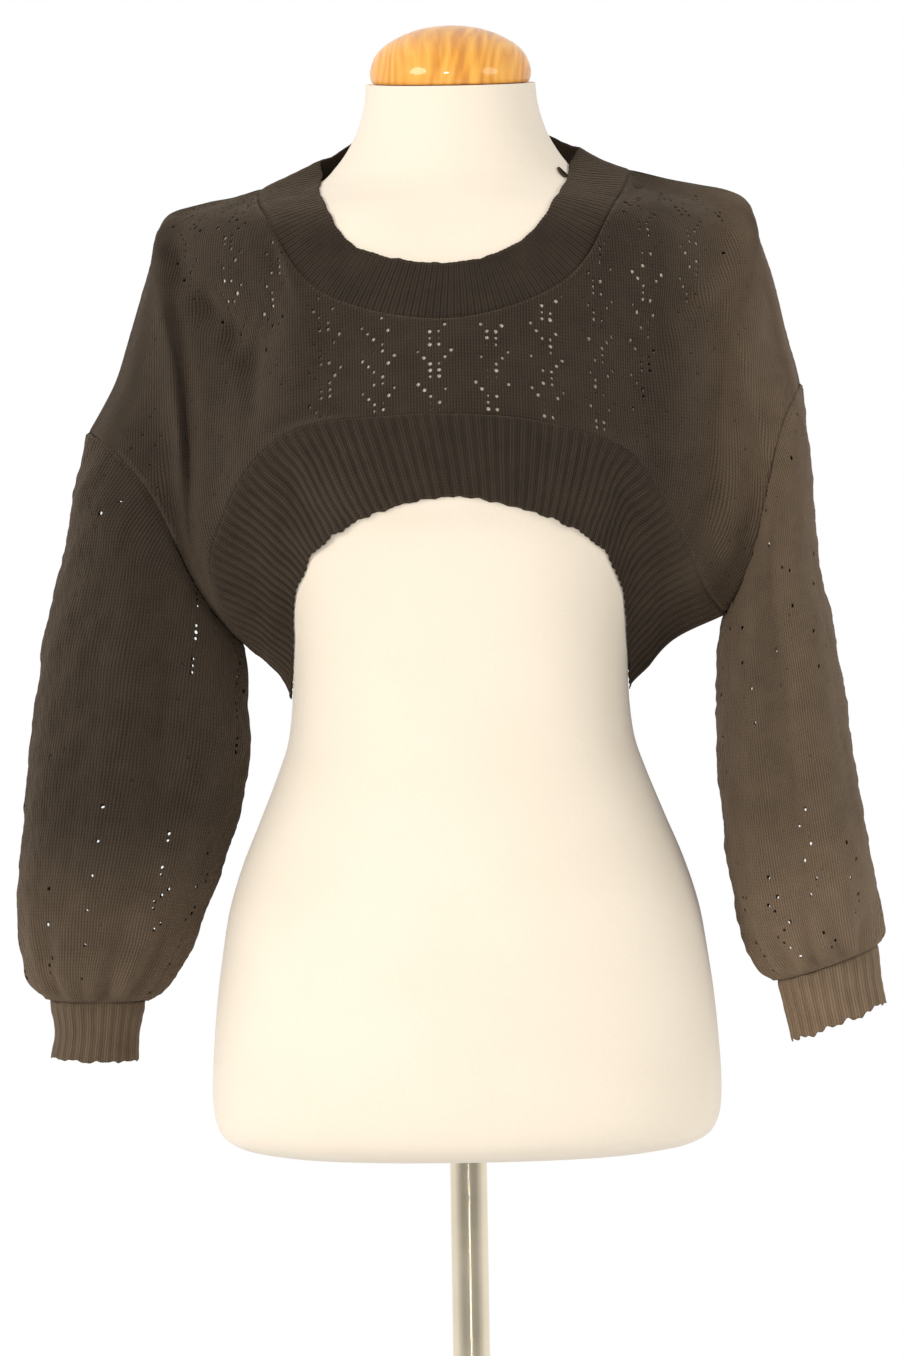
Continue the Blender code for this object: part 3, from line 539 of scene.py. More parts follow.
def keep_clear(points, room, lay=False):
    """Moves points nearer to the form than room straight out from it, or lays them all at that gap."""
    flat = points.reshape(-1, 3)
    for index, point in enumerate(flat):
        place, out, face, distance = form_tree.find_nearest(Vector(point) * MM)
        if lay or (Vector(point) * MM - place).dot(out) < room * MM:
            flat[index] = (place + out * room * MM) / MM
    return flat.reshape(points.shape)


def off_form(point):
    """The way out of the form next to a worn point, and how far off the form the point is."""
    place, out, face, distance = form_tree.find_nearest(Vector(point) * MM)
    return out, (Vector(point) - place / MM).dot(out)


def behind(points):
    """The back's copy of a front edge: a lower arch, and a shallower depth on the other side."""
    points = np.array(points, float)
    floor = points[0, 2] + (points[-1, 2] - points[0, 2]) * np.linspace(0, 1, len(points))
    points[:, 2] = floor + (points[:, 2] - floor) * BACK_ARCH
    points[:, 1] *= -BACK_DEPTH
    return points


def panel(top, bottom, left, right, at_back, folds):
    """A body panel: a smooth sheet between its four edges, pushed clear of the form."""
    u = np.linspace(0, 1, PANEL_COLUMNS + 1)[None, :, None]
    v = spread(PANEL_ROWS)[:, None, None]
    sheet = (1 - v) * top[None] + v * bottom[None]
    for edge, near in ((left, (1 - u) ** SIDE_FADE), (right, u ** SIDE_FADE)):
        ends = (1 - v) * edge[0] + v * edge[-1]
        sheet = sheet + near * (edge[:, None] - ends)
    for corner, way in ((SHOULDER_COLUMNS, -1), (PANEL_COLUMNS - SHOULDER_COLUMNS, 1)):
        out = (u - corner / PANEL_COLUMNS) * way
        width = np.where(out > 0, FAN_WIDTH, FAN_INSIDE)
        near = np.exp(-(out / width) ** 2) * np.minimum(v / FAN_START, 1) * (1 - v) ** 2
        near = near * np.clip(np.minimum(u, 1 - u) / FAN_WIDTH, 0, 1)
        sheet[..., 0] += way * FAN * near[..., 0]
    side = 1 if at_back else -1
    depth = side * sheet[..., 1]
    needed = form_depth(sheet[..., 0], sheet[..., 2], at_back, KNIT + PANEL_EASE)
    lift = folded(u.ravel(), v.ravel(), folds)
    raised = np.maximum(lift, 0)
    hanging = eased(between(np.abs(sheet[..., 0]), LIES_WITHIN, HANGS_PAST))
    depth = np.where(needed > ON_FORM, needed + (depth - needed) * hanging, depth)
    depth = np.maximum(depth + np.where(needed > ON_FORM, raised, lift), needed + raised)
    inner = (slice(1, -1), slice(1, -1))
    sheet[inner + (1,)] = side * depth[inner]
    return sheet


def finer(sheet, times):
    """The same sheet with times as many rows and columns, on smooth curves through its points."""
    rows, columns = sheet.shape[:2]
    tall = along(sheet, np.linspace(0, rows - 1, (rows - 1) * times + 1))
    wide = along(tall.swapaxes(0, 1), np.linspace(0, columns - 1, (columns - 1) * times + 1))
    return wide.swapaxes(0, 1)


def panel_layout(sheet):
    """Lays a worn panel out flat: widths measured level from the middle, heights measured upright."""
    step = np.diff(sheet, axis=1)
    run = np.cumsum(np.hypot(step[..., 0], step[..., 1]), axis=1)
    wide = np.concatenate([np.zeros((len(sheet), 1)), run], axis=1)
    middle = [np.interp(0, row[:, 0], run) for row, run in zip(sheet, wide)]
    wide = wide - np.array(middle)[:, None]
    drop = np.diff(sheet, axis=0)
    tall = np.hypot(drop[..., 1], drop[..., 2])
    tall = np.concatenate([np.cumsum(tall[::-1], axis=0)[::-1], np.zeros((1, sheet.shape[1]))])
    sag = SAG * (1 - np.exp(-(wide / SAG_WIDTH) ** 2))
    tall = tall + sheet[-1, :, 2] - sheet[-1, :, 2].max() + sag
    return np.stack([wide, tall, np.zeros_like(wide)], axis=2)


def rim_of(grid):
    """The four edges of a grid as one closed line."""
    return np.concatenate([grid[0], grid[1:, -1], grid[-1, -2::-1], grid[-2:0:-1, 0]])


def nearest_on(rim, worn_rim, points):
    """For flat points, the nearest places on the flat rim and the worn places that belong to them."""
    start, way = rim, np.roll(rim, -1, axis=0) - rim
    length = np.maximum((way ** 2).sum(axis=1), 1e-9)
    share = np.clip(((points[:, None] - start[None]) * way[None]).sum(axis=2) / length, 0, 1)
    away = np.linalg.norm(points[:, None] - (start[None] + way[None] * share[..., None]), axis=2)
    best = away.argmin(axis=1)
    share = share[np.arange(len(points)), best][:, None]
    return worn_rim[best] + (np.roll(worn_rim, -1, axis=0) - worn_rim)[best] * share


def cell(place):
    """The stitch, counted in wales and courses, that a place on the flat layout is in."""
    return math.floor(place.x / WALE), math.floor(place.y / COURSE)


def is_eyelet(wale, course, first_wale, first_course):
    """Whether the chart opens this stitch. Courses count down from the chart's first row."""
    row, rest = divmod((first_course - course) % (2 * len(CHART)), 2)
    place = (wale - first_wale + COLUMN_WALES // 2) % COLUMN_WALES - COLUMN_WALES // 2
    return rest == 0 and abs(place + 0.5) == CHART[row]


def lined_up(places, in_front):
    """Which eyelets of a tube have another one straight behind or before them, seen from the camera."""
    rays = np.array(places) - np.array(CAMERA_PLACE) / MM
    seen = rays[:, ::2] / rays[:, 1:2] * -CAMERA_PLACE[1] / MM
    away = np.linalg.norm(seen[:, None] - seen[None], axis=2)
    pairs = (away < LINED_UP) & (in_front[:, None] != in_front[None])
    return pairs.any(axis=1)


def soft_noise(points, size, seed):
    """Smooth uneven numbers from -1 to 1 over points, about size apart."""
    chance = np.random.default_rng(seed)
    total = np.zeros(points.shape[:-1])
    for wave in range(5):
        way = chance.normal(size=3)
        way /= np.linalg.norm(way) * size * chance.uniform(0.7, 1.6)
        total += np.sin(points @ way * 2 * math.pi + chance.uniform(0, 6.28))
    return total / 2.5


def knit_flat(name, layout, worn, first_wale, first_course, material, seed, on_form=True, soft=1.0):
    """Knits a piece stitch by stitch on its flat layout, opens its eyelets, and hangs it as worn."""
    low = np.floor(layout[..., :2].min(axis=(0, 1)) / (WALE, COURSE) + 0.001).astype(int)
    high = np.ceil(layout[..., :2].max(axis=(0, 1)) / (WALE, COURSE) - 0.001).astype(int)
    wales, courses = high - low
    bm = bmesh.new()
    drawn_grid(bm, wales, courses)
    bmesh.ops.scale(bm, vec=(wales * WALE, courses * COURSE, 1), verts=bm.verts)
    middle = (low + high) / 2
    bmesh.ops.translate(bm, vec=(middle[0] * WALE, middle[1] * COURSE, 0), verts=bm.verts)

    rows, columns = layout.shape[:2]
    flat_points = layout.reshape(-1, 3)
    worn_points = worn.reshape(-1, 3)
    faces = []
    for row in range(rows - 1):
        for column in range(columns - 1):
            here = row * columns + column
            faces.append((here, here + 1, here + columns + 1))
            faces.append((here, here + columns + 1, here + columns))
    pattern = BVHTree.FromPolygons(flat_points.tolist(), faces)
    above, down = Vector((0, 0, 10)), Vector((0, 0, -1))

    def hung(place):
        """Where a flat place is on the worn piece."""
        spot, normal, face, distance = pattern.ray_cast(place + above, down)
        if face is None:
            spot, normal, face, distance = pattern.find_nearest(place)
        flat_corners = [Vector(flat_points[i]) for i in faces[face]]
        worn_corners = [Vector(worn_points[i]) for i in faces[face]]
        return barycentric_transform(spot, *flat_corners, *worn_corners)

    outside = [face for face in bm.faces
               if pattern.ray_cast(face.calc_center_median() + above, down)[2] is None]
    bmesh.ops.delete(bm, geom=outside, context="FACES")

    edge_points = [v for v in bm.verts if v.is_boundary]
    rim, worn_rim = rim_of(layout), rim_of(worn)
    edge_flat = np.array([v.co for v in edge_points])
    edge_worn = nearest_on(rim, worn_rim, edge_flat)
    worn_at = {v: co for v, co in zip(edge_points, edge_worn)}
    near_edge = set(edge_points)

    chance = random.Random(seed)
    charted = [face for face in bm.faces
               if is_eyelet(*cell(face.calc_center_median()), first_wale, first_course)
               and not near_edge & set(face.verts)]
    centres = [face.calc_center_median() for face in charted]
    hung_at = [hung(centre) for centre in centres]
    if on_form:
        wide = [off_form(place)[1] < STRETCHED for place in hung_at]
        shut_wide, tight_wide, shut_slack = SHUT_STRETCHED, TIGHT_STRETCHED, SHUT_SLACK
    else:
        wide = lined_up(hung_at, np.array([centre.x > 0 for centre in centres]))
        shut_wide, tight_wide, shut_slack = SHUT_LINED_UP, 0.0, SHUT_IN_SLEEVE
    opened = set()
    corners = []
    for face, centre, stretched in zip(charted, centres, wide):
        draw = chance.random()
        shut = shut_wide if stretched else shut_slack
        if not (on_form or stretched or centre.x > 0):
            shut = SHUT_BEHIND
        tight = tight_wide if stretched else 1.0
        if draw < shut:
            continue
        size = chance.uniform(*(EYELET_TIGHT if draw < shut + tight else EYELET_OPEN))
        opened.add(cell(centre))
        corners += [(v, centre.xy, size) for v in face.verts]
    for v, centre, size in corners:
        v.co.xy = centre + (v.co.xy - centre) * size
    bmesh.ops.bevel(bm, geom=[corner[0] for corner in corners], offset=EYELET_ROUND,
                    offset_type="PERCENT", affect="VERTICES", segments=1, profile=0.5, material=-1)
    open_stitches = [face for face in bm.faces
                     if len(face.verts) == 8 and cell(face.calc_center_median()) in opened]
    bmesh.ops.delete(bm, geom=open_stitches, context="FACES")
    loose = [v for v in bm.verts if not v.link_faces]
    bmesh.ops.delete(bm, geom=loose, context="VERTS")

    stitch_map = bm.loops.layers.uv.new("stitches")
    for face in bm.faces:
        for loop in face.loops:
            loop[stitch_map].uv = (loop.vert.co.x / WALE, loop.vert.co.y / COURSE)

    points = list(bm.verts)
    placed = [worn_at[v] if v in worn_at else np.array(hung(v.co)) for v in points]
    if on_form:
        placed = rest_on_form(placed)
    for v, co in zip(points, placed):
        v.co = Vector(co) * MM
    bmesh.ops.remove_doubles(bm, verts=[v for v in worn_at if v.is_valid], dist=MERGE)
    return hang(name, bm, material, seed, {v for v in worn_at if v.is_valid}, soft)


# Cloth that lies within HUG_NEAR of the form is drawn in by HUG_PULL, and never nearer than REST.
HUG_NEAR = 6.0
HUG_FAR = 15.0
HUG_PULL = 3.7
REST = 0.3

# Between its seams the cloth wanders out by up to twice each lift, over bumps of each size.
UNEVEN = [
    # lift, size
    (0.22, 26.0),
    (0.12, 7.0),
]


def rest_on_form(points):
    """Lets worn cloth sink the last few millimetres onto the form, where it lies close to it."""
    for index, point in enumerate(points):
        out, gap = off_form(point)
        if gap < HUG_FAR:
            blend = eased(max((gap - HUG_NEAR) / (HUG_FAR - HUG_NEAR), 0))
            wanted = max(gap - HUG_PULL * (1 - blend), SHELL + REST)
            points[index] = point + np.array(out) * (wanted - gap)
    return points


def hang(name, bm, material, seed, seam_points, soft=1.0):
    """Turns the cloth's outside outwards, makes it a little uneven between its seams, and walls it."""
    bmesh.ops.recalc_face_normals(bm, faces=bm.faces)
    bm.normal_update()
    points = np.array([v.co for v in bm.verts]) / MM
    normals = np.array([v.normal for v in bm.verts])
    if ((points - points.mean(axis=0)) * normals).sum() < 0:
        bmesh.ops.reverse_faces(bm, faces=bm.faces)
        normals = -normals
    wander = sum(lift * (1 + soft_noise(points, size, seed + step))
                 for step, (lift, size) in enumerate(UNEVEN)) * soft
    for v, normal, lift in zip(bm.verts, normals, wander):
        if v not in seam_points:
            v.co += Vector(normal) * lift * MM
    piece = finished_piece(name, bm, material)
    shell = piece.modifiers.new("wall", "SOLIDIFY")
    shell.thickness = SHELL * MM
    shell.offset = -1.0
    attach(piece, "root")
    return piece


def stitch_group():
    """Stitches on a map whose unit is one stitch: each a V of two plump slanting legs, with painted
    shade dark between the columns, and in a ribbed knit painted shade dark between the ribs too. A
    third output marks where painted glare makes the yarn paler."""
    group = bpy.data.node_groups.new("knit_stitches", "ShaderNodeTree")
    for name, kind in (("Stitches", "Vector"), ("Place", "Vector"), ("Rib Stitches", "Float"),
                       ("Furrow Shade", "Float")):
        group.interface.new_socket(name, in_out="INPUT", socket_type="NodeSocket" + kind)
    for name in ("Height", "Shade", "Fade"):
        group.interface.new_socket(name, in_out="OUTPUT", socket_type="NodeSocketFloat")
    given = group.nodes.new("NodeGroupInput")
    put = group.nodes.new("NodeGroupOutput")
    stitch = node(group, "ShaderNodeSeparateXYZ", {"Vector": given.outputs["Stitches"]})
    place = node(group, "ShaderNodeSeparateXYZ", {"Vector": given.outputs["Place"]})
    # The stitch relief below also drives the colour: its grooves get painted shade.
    off = maths(group, "SUBTRACT", maths(group, "FRACT", stitch.outputs["X"]), 0.5)
    off = maths(group, "ABSOLUTE", off)
    slant = maths(group, "MULTIPLY_ADD", off, -1.1, stitch.outputs["Y"])
    leg = maths(group, "SINE", maths(group, "MULTIPLY", maths(group, "FRACT", slant), math.pi))
    hump = maths(group, "COSINE", maths(group, "MULTIPLY", off, math.pi))
    hump = maths(group, "POWER", maths(group, "MAXIMUM", hump, 0.0), 0.8)
    height = maths(group, "MULTIPLY", hump, maths(group, "MULTIPLY_ADD", leg, 0.45, 0.55))
    # Painted shade in the furrows between the ribs, as strong as the fourth input says.
    across = maths(group, "DIVIDE", stitch.outputs["X"], given.outputs["Rib Stitches"])
    wave = maths(group, "COSINE", maths(group, "MULTIPLY", across, 2 * math.pi))
    furrow = maths(group, "MULTIPLY", maths(group, "MULTIPLY_ADD", wave, 0.5, 0.5),
                   given.outputs["Furrow Shade"])
    hairs = noise(group, given.outputs["Place"], 1500.0, 3.0)
    cloud = noise(group, given.outputs["Place"], 60.0, 4.0)
    fluff = maths(group, "MULTIPLY_ADD", cloud, 0.45, maths(group, "MULTIPLY", hairs, 0.35))
    # Shade: painted shade of the stitch relief and rib furrows, with random fluff on top.
    shade = maths(group, "MULTIPLY_ADD", height, 0.62, fluff)
    shade = maths(group, "MULTIPLY", shade, maths(group, "SUBTRACT", 1.0, furrow))
    # The mask of painted glare: the yarn is paler to the right and downwards.
    side = mapped_range(group, place.outputs["X"], *GLARE_SIDE, 0.0, GLARE_AT_SIDE)
    low = mapped_range(group, place.outputs["Z"], *GLARE_LOW, 0.0, GLARE_AT_CUFF)
    group.links.new(maths(group, "MULTIPLY_ADD", hairs, 0.25, height), put.inputs["Height"])
    group.links.new(shade, put.inputs["Shade"])
    group.links.new(maths(group, "ADD", side, low), put.inputs["Fade"])
    return group


knit_stitches = stitch_group()


def yarn(name, relief, rib_stitches=1.0, furrow_shade=0.0):
    """Soft near-black yarn with a warm haze of loose fibres, paler where painted glare washes it out.
    """
    material, tree, shader = new_material(name, 0.92, Sheen_Weight=0.16, Sheen_Roughness=0.6,
                                          Sheen_Tint=(0.70, 0.52, 0.36, 1.0), Specular_IOR_Level=0.2)
    stitches = node(tree, "ShaderNodeUVMap", uv_map="stitches").outputs["UV"]
    place = node(tree, "ShaderNodeTexCoord").outputs["Object"]
    knit = node(tree, "ShaderNodeGroup", node_tree=knit_stitches)
    tree.links.new(stitches, knit.inputs["Stitches"])
    tree.links.new(place, knit.inputs["Place"])
    knit.inputs["Rib Stitches"].default_value = rib_stitches
    knit.inputs["Furrow Shade"].default_value = furrow_shade
    own_colour = ramp(tree, knit.outputs["Shade"], [(0.35, YARN_DARK), (1.0, YARN_LIGHT)])
    # The paler ramp is the yarn under painted glare, mixed in by the glare mask.
    painted_glare = ramp(tree, knit.outputs["Shade"], [(0.35, GLARE_DARK), (1.0, GLARE_LIGHT)])
    colour = node(tree, "ShaderNodeMix", {0: knit.outputs["Fade"], 6: own_colour, 7: painted_glare},
                  data_type="RGBA")
    tree.links.new(colour.outputs[2], shader.inputs["Base Color"])
    add_bump(tree, shader, knit.outputs["Height"], 0.9, relief * MM)
    return material


body_yarn = yarn("openwork_yarn", 0.7)

shoulder_left = along(SHOULDER_LEFT, np.linspace(0, len(SHOULDER_LEFT) - 1, SHOULDER_COLUMNS + 1))
shoulder_right = along(SHOULDER_RIGHT, np.linspace(0, len(SHOULDER_RIGHT) - 1, SHOULDER_COLUMNS + 1))
neck_seam = keep_clear(round_loop(NECK_SEAM, 2 * NECK_COLUMNS), KNIT + EASE)
for corner, point in ((0, shoulder_left[-1]), (NECK_COLUMNS, shoulder_right[-1])):
    steps = np.arange(2 * NECK_COLUMNS) - corner
    away = np.abs((steps + NECK_COLUMNS) % (2 * NECK_COLUMNS) - NECK_COLUMNS)
    neck_seam = neck_seam + (point - neck_seam[corner]) * np.exp(-(away / NECK_BLEND) ** 2)[:, None]
neck_front = neck_seam[:NECK_COLUMNS + 1]
neck_back = np.concatenate([neck_seam[NECK_COLUMNS:], neck_seam[:1]])[::-1]
front_left, back_left = armhole(SHOULDER_LEFT[0], RIB_TOP[0], side=-1, **ARMHOLE_LEFT)
front_right, back_right = armhole(SHOULDER_RIGHT[0], RIB_TOP[-1], side=1, **ARMHOLE_RIGHT)
rib_front = evenly(RIB_TOP, PANEL_COLUMNS)
rib_back = evenly(behind(RIB_TOP), PANEL_COLUMNS)

# The first eyelet column stands just left of the middle, and the lowest eyelets one course over
# the rib.
FIRST_WALE = -7
FIRST_COURSE = 9

for name, neck, rib, left, right, folds in (
        ("front", neck_front, rib_front, front_left, front_right, FRONT_FOLDS),
        ("back", neck_back, rib_back, back_left, back_right, BACK_FOLDS)):
    top = np.concatenate([shoulder_left[:-1], neck, shoulder_right[-2::-1]])
    worn = finer(panel(top, rib, left, right, name == "back", folds), FINE)
    piece = knit_flat(name + "_knit", panel_layout(worn), worn, FIRST_WALE, FIRST_COURSE, body_yarn,
                      seed=11 if name == "front" else 23)
    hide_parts(name)

# The sleeves are balloon shaped, knitted in one piece each and closed by a seam under the arm. They
# hang from the drooping armholes, and are drawn together in small gathers over the cuffs.
SLEEVE_LEFT = [
    # out_x, out_z, in_x, in_z, half_depth
    (-249, 1197, -139, 1082, 54),
    (-256, 1158, -139, 1062, 56),
    (-267, 1120, -138, 1043, 53),
    (-273, 1081, -139, 1024, 50),
    (-279, 1042, -143, 1002, 48),
    (-283, 1003, -150, 978, 47),
    (-287, 964, -158, 955, 46),
    (-289.5, 938, -166, 936, 45),
    (-287, 912, -177, 910, 43),
    (-282, 888, -193, 885, 38),
    (-270, 873, -208, 872, 29),
]
SLEEVE_RIGHT = [
    # out_x, out_z, in_x, in_z, half_depth
    (227, 1228, 168, 1095, 68),
    (230, 1189, 168, 1074, 71),
    (233, 1150, 167, 1052, 70),
    (241, 1111, 167, 1030, 68),
    (247, 1072, 168, 1006, 67),
    (252, 1033, 170, 982, 66),
    (258, 994, 172, 958, 64),
    (264, 957, 176, 932, 61),
    (267, 930, 182, 907, 55),
    (269, 912, 191, 889, 44),
    (268, 900, 203, 878, 30),
]
SLEEVE_LEFT_FOLDS = [
    # u0, v0, u1, v1, half_width, height
    (0.28, 0.12, 0.31, 0.55, 0.045, -9.0),
    (0.21, 0.15, 0.23, 0.80, 0.05, 3.0),
    (0.10, 0.15, 0.10, 0.85, 0.05, 4.0),
    (0.62, 0.10, 0.60, 0.70, 0.05, 4.5),
    (0.72, 0.08, 0.75, 0.80, 0.05, -5.0),
    (0.86, 0.20, 0.88, 0.85, 0.05, 4.0),
    (0.26, 0.72, 0.27, 0.93, 0.03, -4.5),
    (0.36, 0.70, 0.33, 0.93, 0.03, 3.5),
    (0.17, 0.76, 0.20, 0.93, 0.03, 3.0),
]
SLEEVE_RIGHT_FOLDS = [
    # u0, v0, u1, v1, half_width, height
    (0.34, 0.12, 0.38, 0.85, 0.05, 6.0),
    (0.26, 0.10, 0.27, 0.80, 0.04, -7.0),
    (0.14, 0.18, 0.16, 0.85, 0.05, 5.0),
    (0.64, 0.10, 0.62, 0.75, 0.05, 4.0),
    (0.74, 0.12, 0.72, 0.80, 0.05, -5.0),
    (0.86, 0.15, 0.88, 0.85, 0.05, 4.0),
]
GATHER = 3.2
GATHERED_FROM = 0.72
GATHERED_TO = 0.93
GATHER_END = 0.05
SLEEVE_RINGS = 17
SLEEVE_COLUMNS = 2 * PANEL_ROWS
POINTED_RINGS = 5
SLEEVE_WALES = 172
SLEEVE_FIRST_COURSE = -4


def tube_ring(out_x, out_z, in_x, in_z, half_depth, pointed=0.0):
    """One ring of a sleeve or cuff, from its outer side round the front and the back."""
    share = spread(PANEL_ROWS)
    share = np.concatenate([share, share[-2:0:-1]])
    oval = 2 * np.sqrt(share * (1 - share))
    drop = TEARDROP * np.sqrt(share) * (1 - share) ** POINT
    deep = (oval * (1 - pointed) + drop * pointed) * half_depth
    front = np.arange(SLEEVE_COLUMNS) <= PANEL_ROWS
    y = np.where(front, -deep, deep)
    return np.stack([out_x + (in_x - out_x) * share, y, out_z + (in_z - out_z) * share], axis=1)


def tube(table, rings, pointed_rings=0):
    """All the rings of a tube, read from its table."""
    rows = along(table, np.linspace(0, len(table) - 1, rings + 1))
    pointed = np.clip(1 - np.arange(rings + 1) / max(pointed_rings, 1), 0, 1) * (pointed_rings > 0)
    return np.stack([tube_ring(*row, point) for row, point in zip(rows, pointed)])


def sleeve(front_seam, back_seam, table, folds):
    """A sleeve from the armhole to the cuff: its plain form, and the same with folds and gathers."""
    first = np.concatenate([front_seam, back_seam[-2:0:-1]])
    top = front_seam[0]
    bottom = front_seam[-1]
    start = (top[0], top[2], bottom[0], bottom[2], 0.5 * (table[0][4] + np.abs(first[:, 1]).max()))
    rows = tube([start] + table, SLEEVE_RINGS, POINTED_RINGS)
    rows[0] = first
    outward = rows - rows.mean(axis=1, keepdims=True)
    outward /= np.linalg.norm(outward, axis=2, keepdims=True)
    v = np.linspace(0, 1, SLEEVE_RINGS + 1)
    lift = folded(np.arange(SLEEVE_COLUMNS) / SLEEVE_COLUMNS, v, folds)
    pinch = between(v, GATHERED_FROM, GATHERED_TO) * between(v, 1, 1 - GATHER_END)
    pleats = np.where(np.arange(SLEEVE_COLUMNS) % 2 == 0, 1.0, -1.0)
    lift = lift + GATHER * pinch[:, None] * pleats[None]
    lift[:2] = 0
    lift[-1] = 0
    return rows, rows + outward * lift[..., None]


def ring_finer(rings, times, first):
    """Rings cut finer both ways, opened at one column, with that column at both ends."""
    rings = np.roll(rings, -first, axis=1)
    count = rings.shape[1]
    wrapped = np.concatenate([rings[:, -2:], rings, rings[:, :3]], axis=1)
    tall = along(wrapped, np.linspace(0, len(rings) - 1, (len(rings) - 1) * times + 1))
    return along(tall.swapaxes(0, 1), np.linspace(0, count, count * times + 1) + 2).swapaxes(0, 1)


for name, seams, table, folds, seed in (
        ("sleeve_left", (front_left, back_left), SLEEVE_LEFT, SLEEVE_LEFT_FOLDS, 37),
        ("sleeve_right", (front_right, back_right), SLEEVE_RIGHT, SLEEVE_RIGHT_FOLDS, 53)):
    plain, hanging = (ring_finer(rings, FINE, PANEL_ROWS) for rings in sleeve(*seams, table, folds))
    drop = np.linalg.norm(np.diff(plain, axis=0), axis=2)
    tall = np.concatenate([np.cumsum(drop[::-1], axis=0)[::-1], np.zeros((1, plain.shape[1]))])
    wide = np.linspace(-0.5, 0.5, plain.shape[1]) * SLEEVE_WALES * WALE
    layout = np.stack([np.broadcast_to(wide, tall.shape), tall, np.zeros_like(tall)], axis=2)
    piece = knit_flat(name + "_knit", layout, hanging, 0, SLEEVE_FIRST_COURSE, body_yarn, seed,
                      on_form=False, soft=3.0)
    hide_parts(name)

# The neckband is a wide double-fine rib, knitted on round the neckline and lying flat on the form.
# Its free edge is slightly wavy.
NECK_EDGE = [
    # x, y, z
    (-88, 0, 1412), (-83, -53, 1385), (-62, -82, 1351), (-3, -89, 1339), (46, -82, 1355),
    (70, -52, 1392), (83, 0, 1418), (77, 26, 1426), (50, 51, 1440), (-4, 63, 1444), (-52, 50, 1438),
    (-77, 27, 1422),
]
NECK_EASE = 1.5
BAND_LIES_TO = -30.0
BAND_STANDS_FROM = 10.0
NECK_MIDDLE_EASE = 2.9
NECK_ROWS = 3
NECK_RIBS = 216
NECK_RIB_HEIGHT = 0.42

# How square the ribs are, how steeply they rise from a band's seam, how many stitches high a row
# of points is, and how long the waves of a ragged edge are.
RIB_ROUND = 1.6
RIB_RISE = 6
ROW_STITCHES = 1.2
RAGGED_SIZE = 10.0


def knit_ribbed(name, rows, closed, ribs, steps, courses, height, wales, material, seed, hug=True,
                ragged=0.0):
    """Knits a ribbed band from its seam to its free edge: rounded ribs side by side along it."""
    if closed:
        rows = np.concatenate([rows[:, -2:], rows, rows[:, :3]], axis=1)
    tall = along(rows, np.linspace(0, len(rows) - 1, courses + 1))
    first, last = (2, rows.shape[1] - 3) if closed else (0, rows.shape[1] - 1)
    worn = along(tall.swapaxes(0, 1), np.linspace(first, last, ribs * steps + 1)).swapaxes(0, 1)
    turn = np.arange(ribs * steps + 1) * 2 * math.pi / steps
    raised = 0.5 - 0.5 * np.tanh(RIB_ROUND * np.cos(turn)) / math.tanh(RIB_ROUND)
    down = worn[-1] - worn[-2]
    down /= np.linalg.norm(down, axis=1, keepdims=True)
    waves = 0.5 * np.cos(turn) + soft_noise(worn[-1], RAGGED_SIZE, seed + 5)
    uneven = ragged * waves[:, None]
    worn[-1] += down * uneven
    worn[-2] += down * uneven * 0.5
    if hug:
        worn = np.array(rest_on_form(list(worn.reshape(-1, 3)))).reshape(worn.shape)
    bm = bmesh.new()
    grid = drawn_grid(bm, ribs * steps, courses)
    stitch_map = bm.loops.layers.uv.new("stitches")
    for face in bm.faces:
        for loop in face.loops:
            co = loop.vert.co
            loop[stitch_map].uv = ((co.x + 0.5) * ribs * wales, -co.y * courses * ROW_STITCHES)
    relief = {}
    for points, line, share in zip(grid, worn, np.linspace(0, 1, courses + 1)):
        for point, co, lift in zip(points, line, raised):
            point.co = Vector(co) * MM
            relief[point] = lift * height * min(1, share * RIB_RISE) * MM
    seam_points = set(grid[0])
    if not closed:
        seam_points |= {points[0] for points in grid} | {points[-1] for points in grid}
    bmesh.ops.recalc_face_normals(bm, faces=bm.faces)
    bm.normal_update()
    centre = Vector(worn.reshape(-1, 3).mean(axis=0)) * MM
    way = math.copysign(1, sum((point.co - centre).dot(point.normal) for point in bm.verts))
    normal_of = {point: point.normal * way for point in bm.verts}
    for point in bm.verts:
        point.co += normal_of[point] * relief[point]
    bmesh.ops.remove_doubles(bm, verts=bm.verts, dist=2 * MERGE)
    return hang(name, bm, material, seed, {point for point in seam_points if point.is_valid})


neck_edge = round_loop(NECK_EDGE, 2 * NECK_COLUMNS)
stands = between(neck_edge[:, 1:2], BAND_LIES_TO, BAND_STANDS_FROM)
lying = keep_clear(neck_edge.copy(), BAND + NECK_EASE, lay=True)
neck_edge = lying * (1 - stands) + keep_clear(neck_edge, BAND + NECK_EASE) * stands
down_share = np.linspace(0, 1, NECK_ROWS + 1)[:, None, None]
neck_rows = neck_edge * (1 - down_share) + neck_seam * down_share
neck_rows[1:-1] = keep_clear(neck_rows[1:-1], BAND + NECK_MIDDLE_EASE)
# The last number is how strong the painted shade in the rib furrows is.
neck_yarn = yarn("neckband_yarn", 0.5, 2.0, 0.25)
neckband = knit_ribbed("neckband_rib", neck_rows[::-1], closed=True, ribs=NECK_RIBS, steps=4,
                       courses=18, height=NECK_RIB_HEIGHT, wales=2, material=neck_yarn, seed=61,
                       ragged=0.4)
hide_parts("neckband")

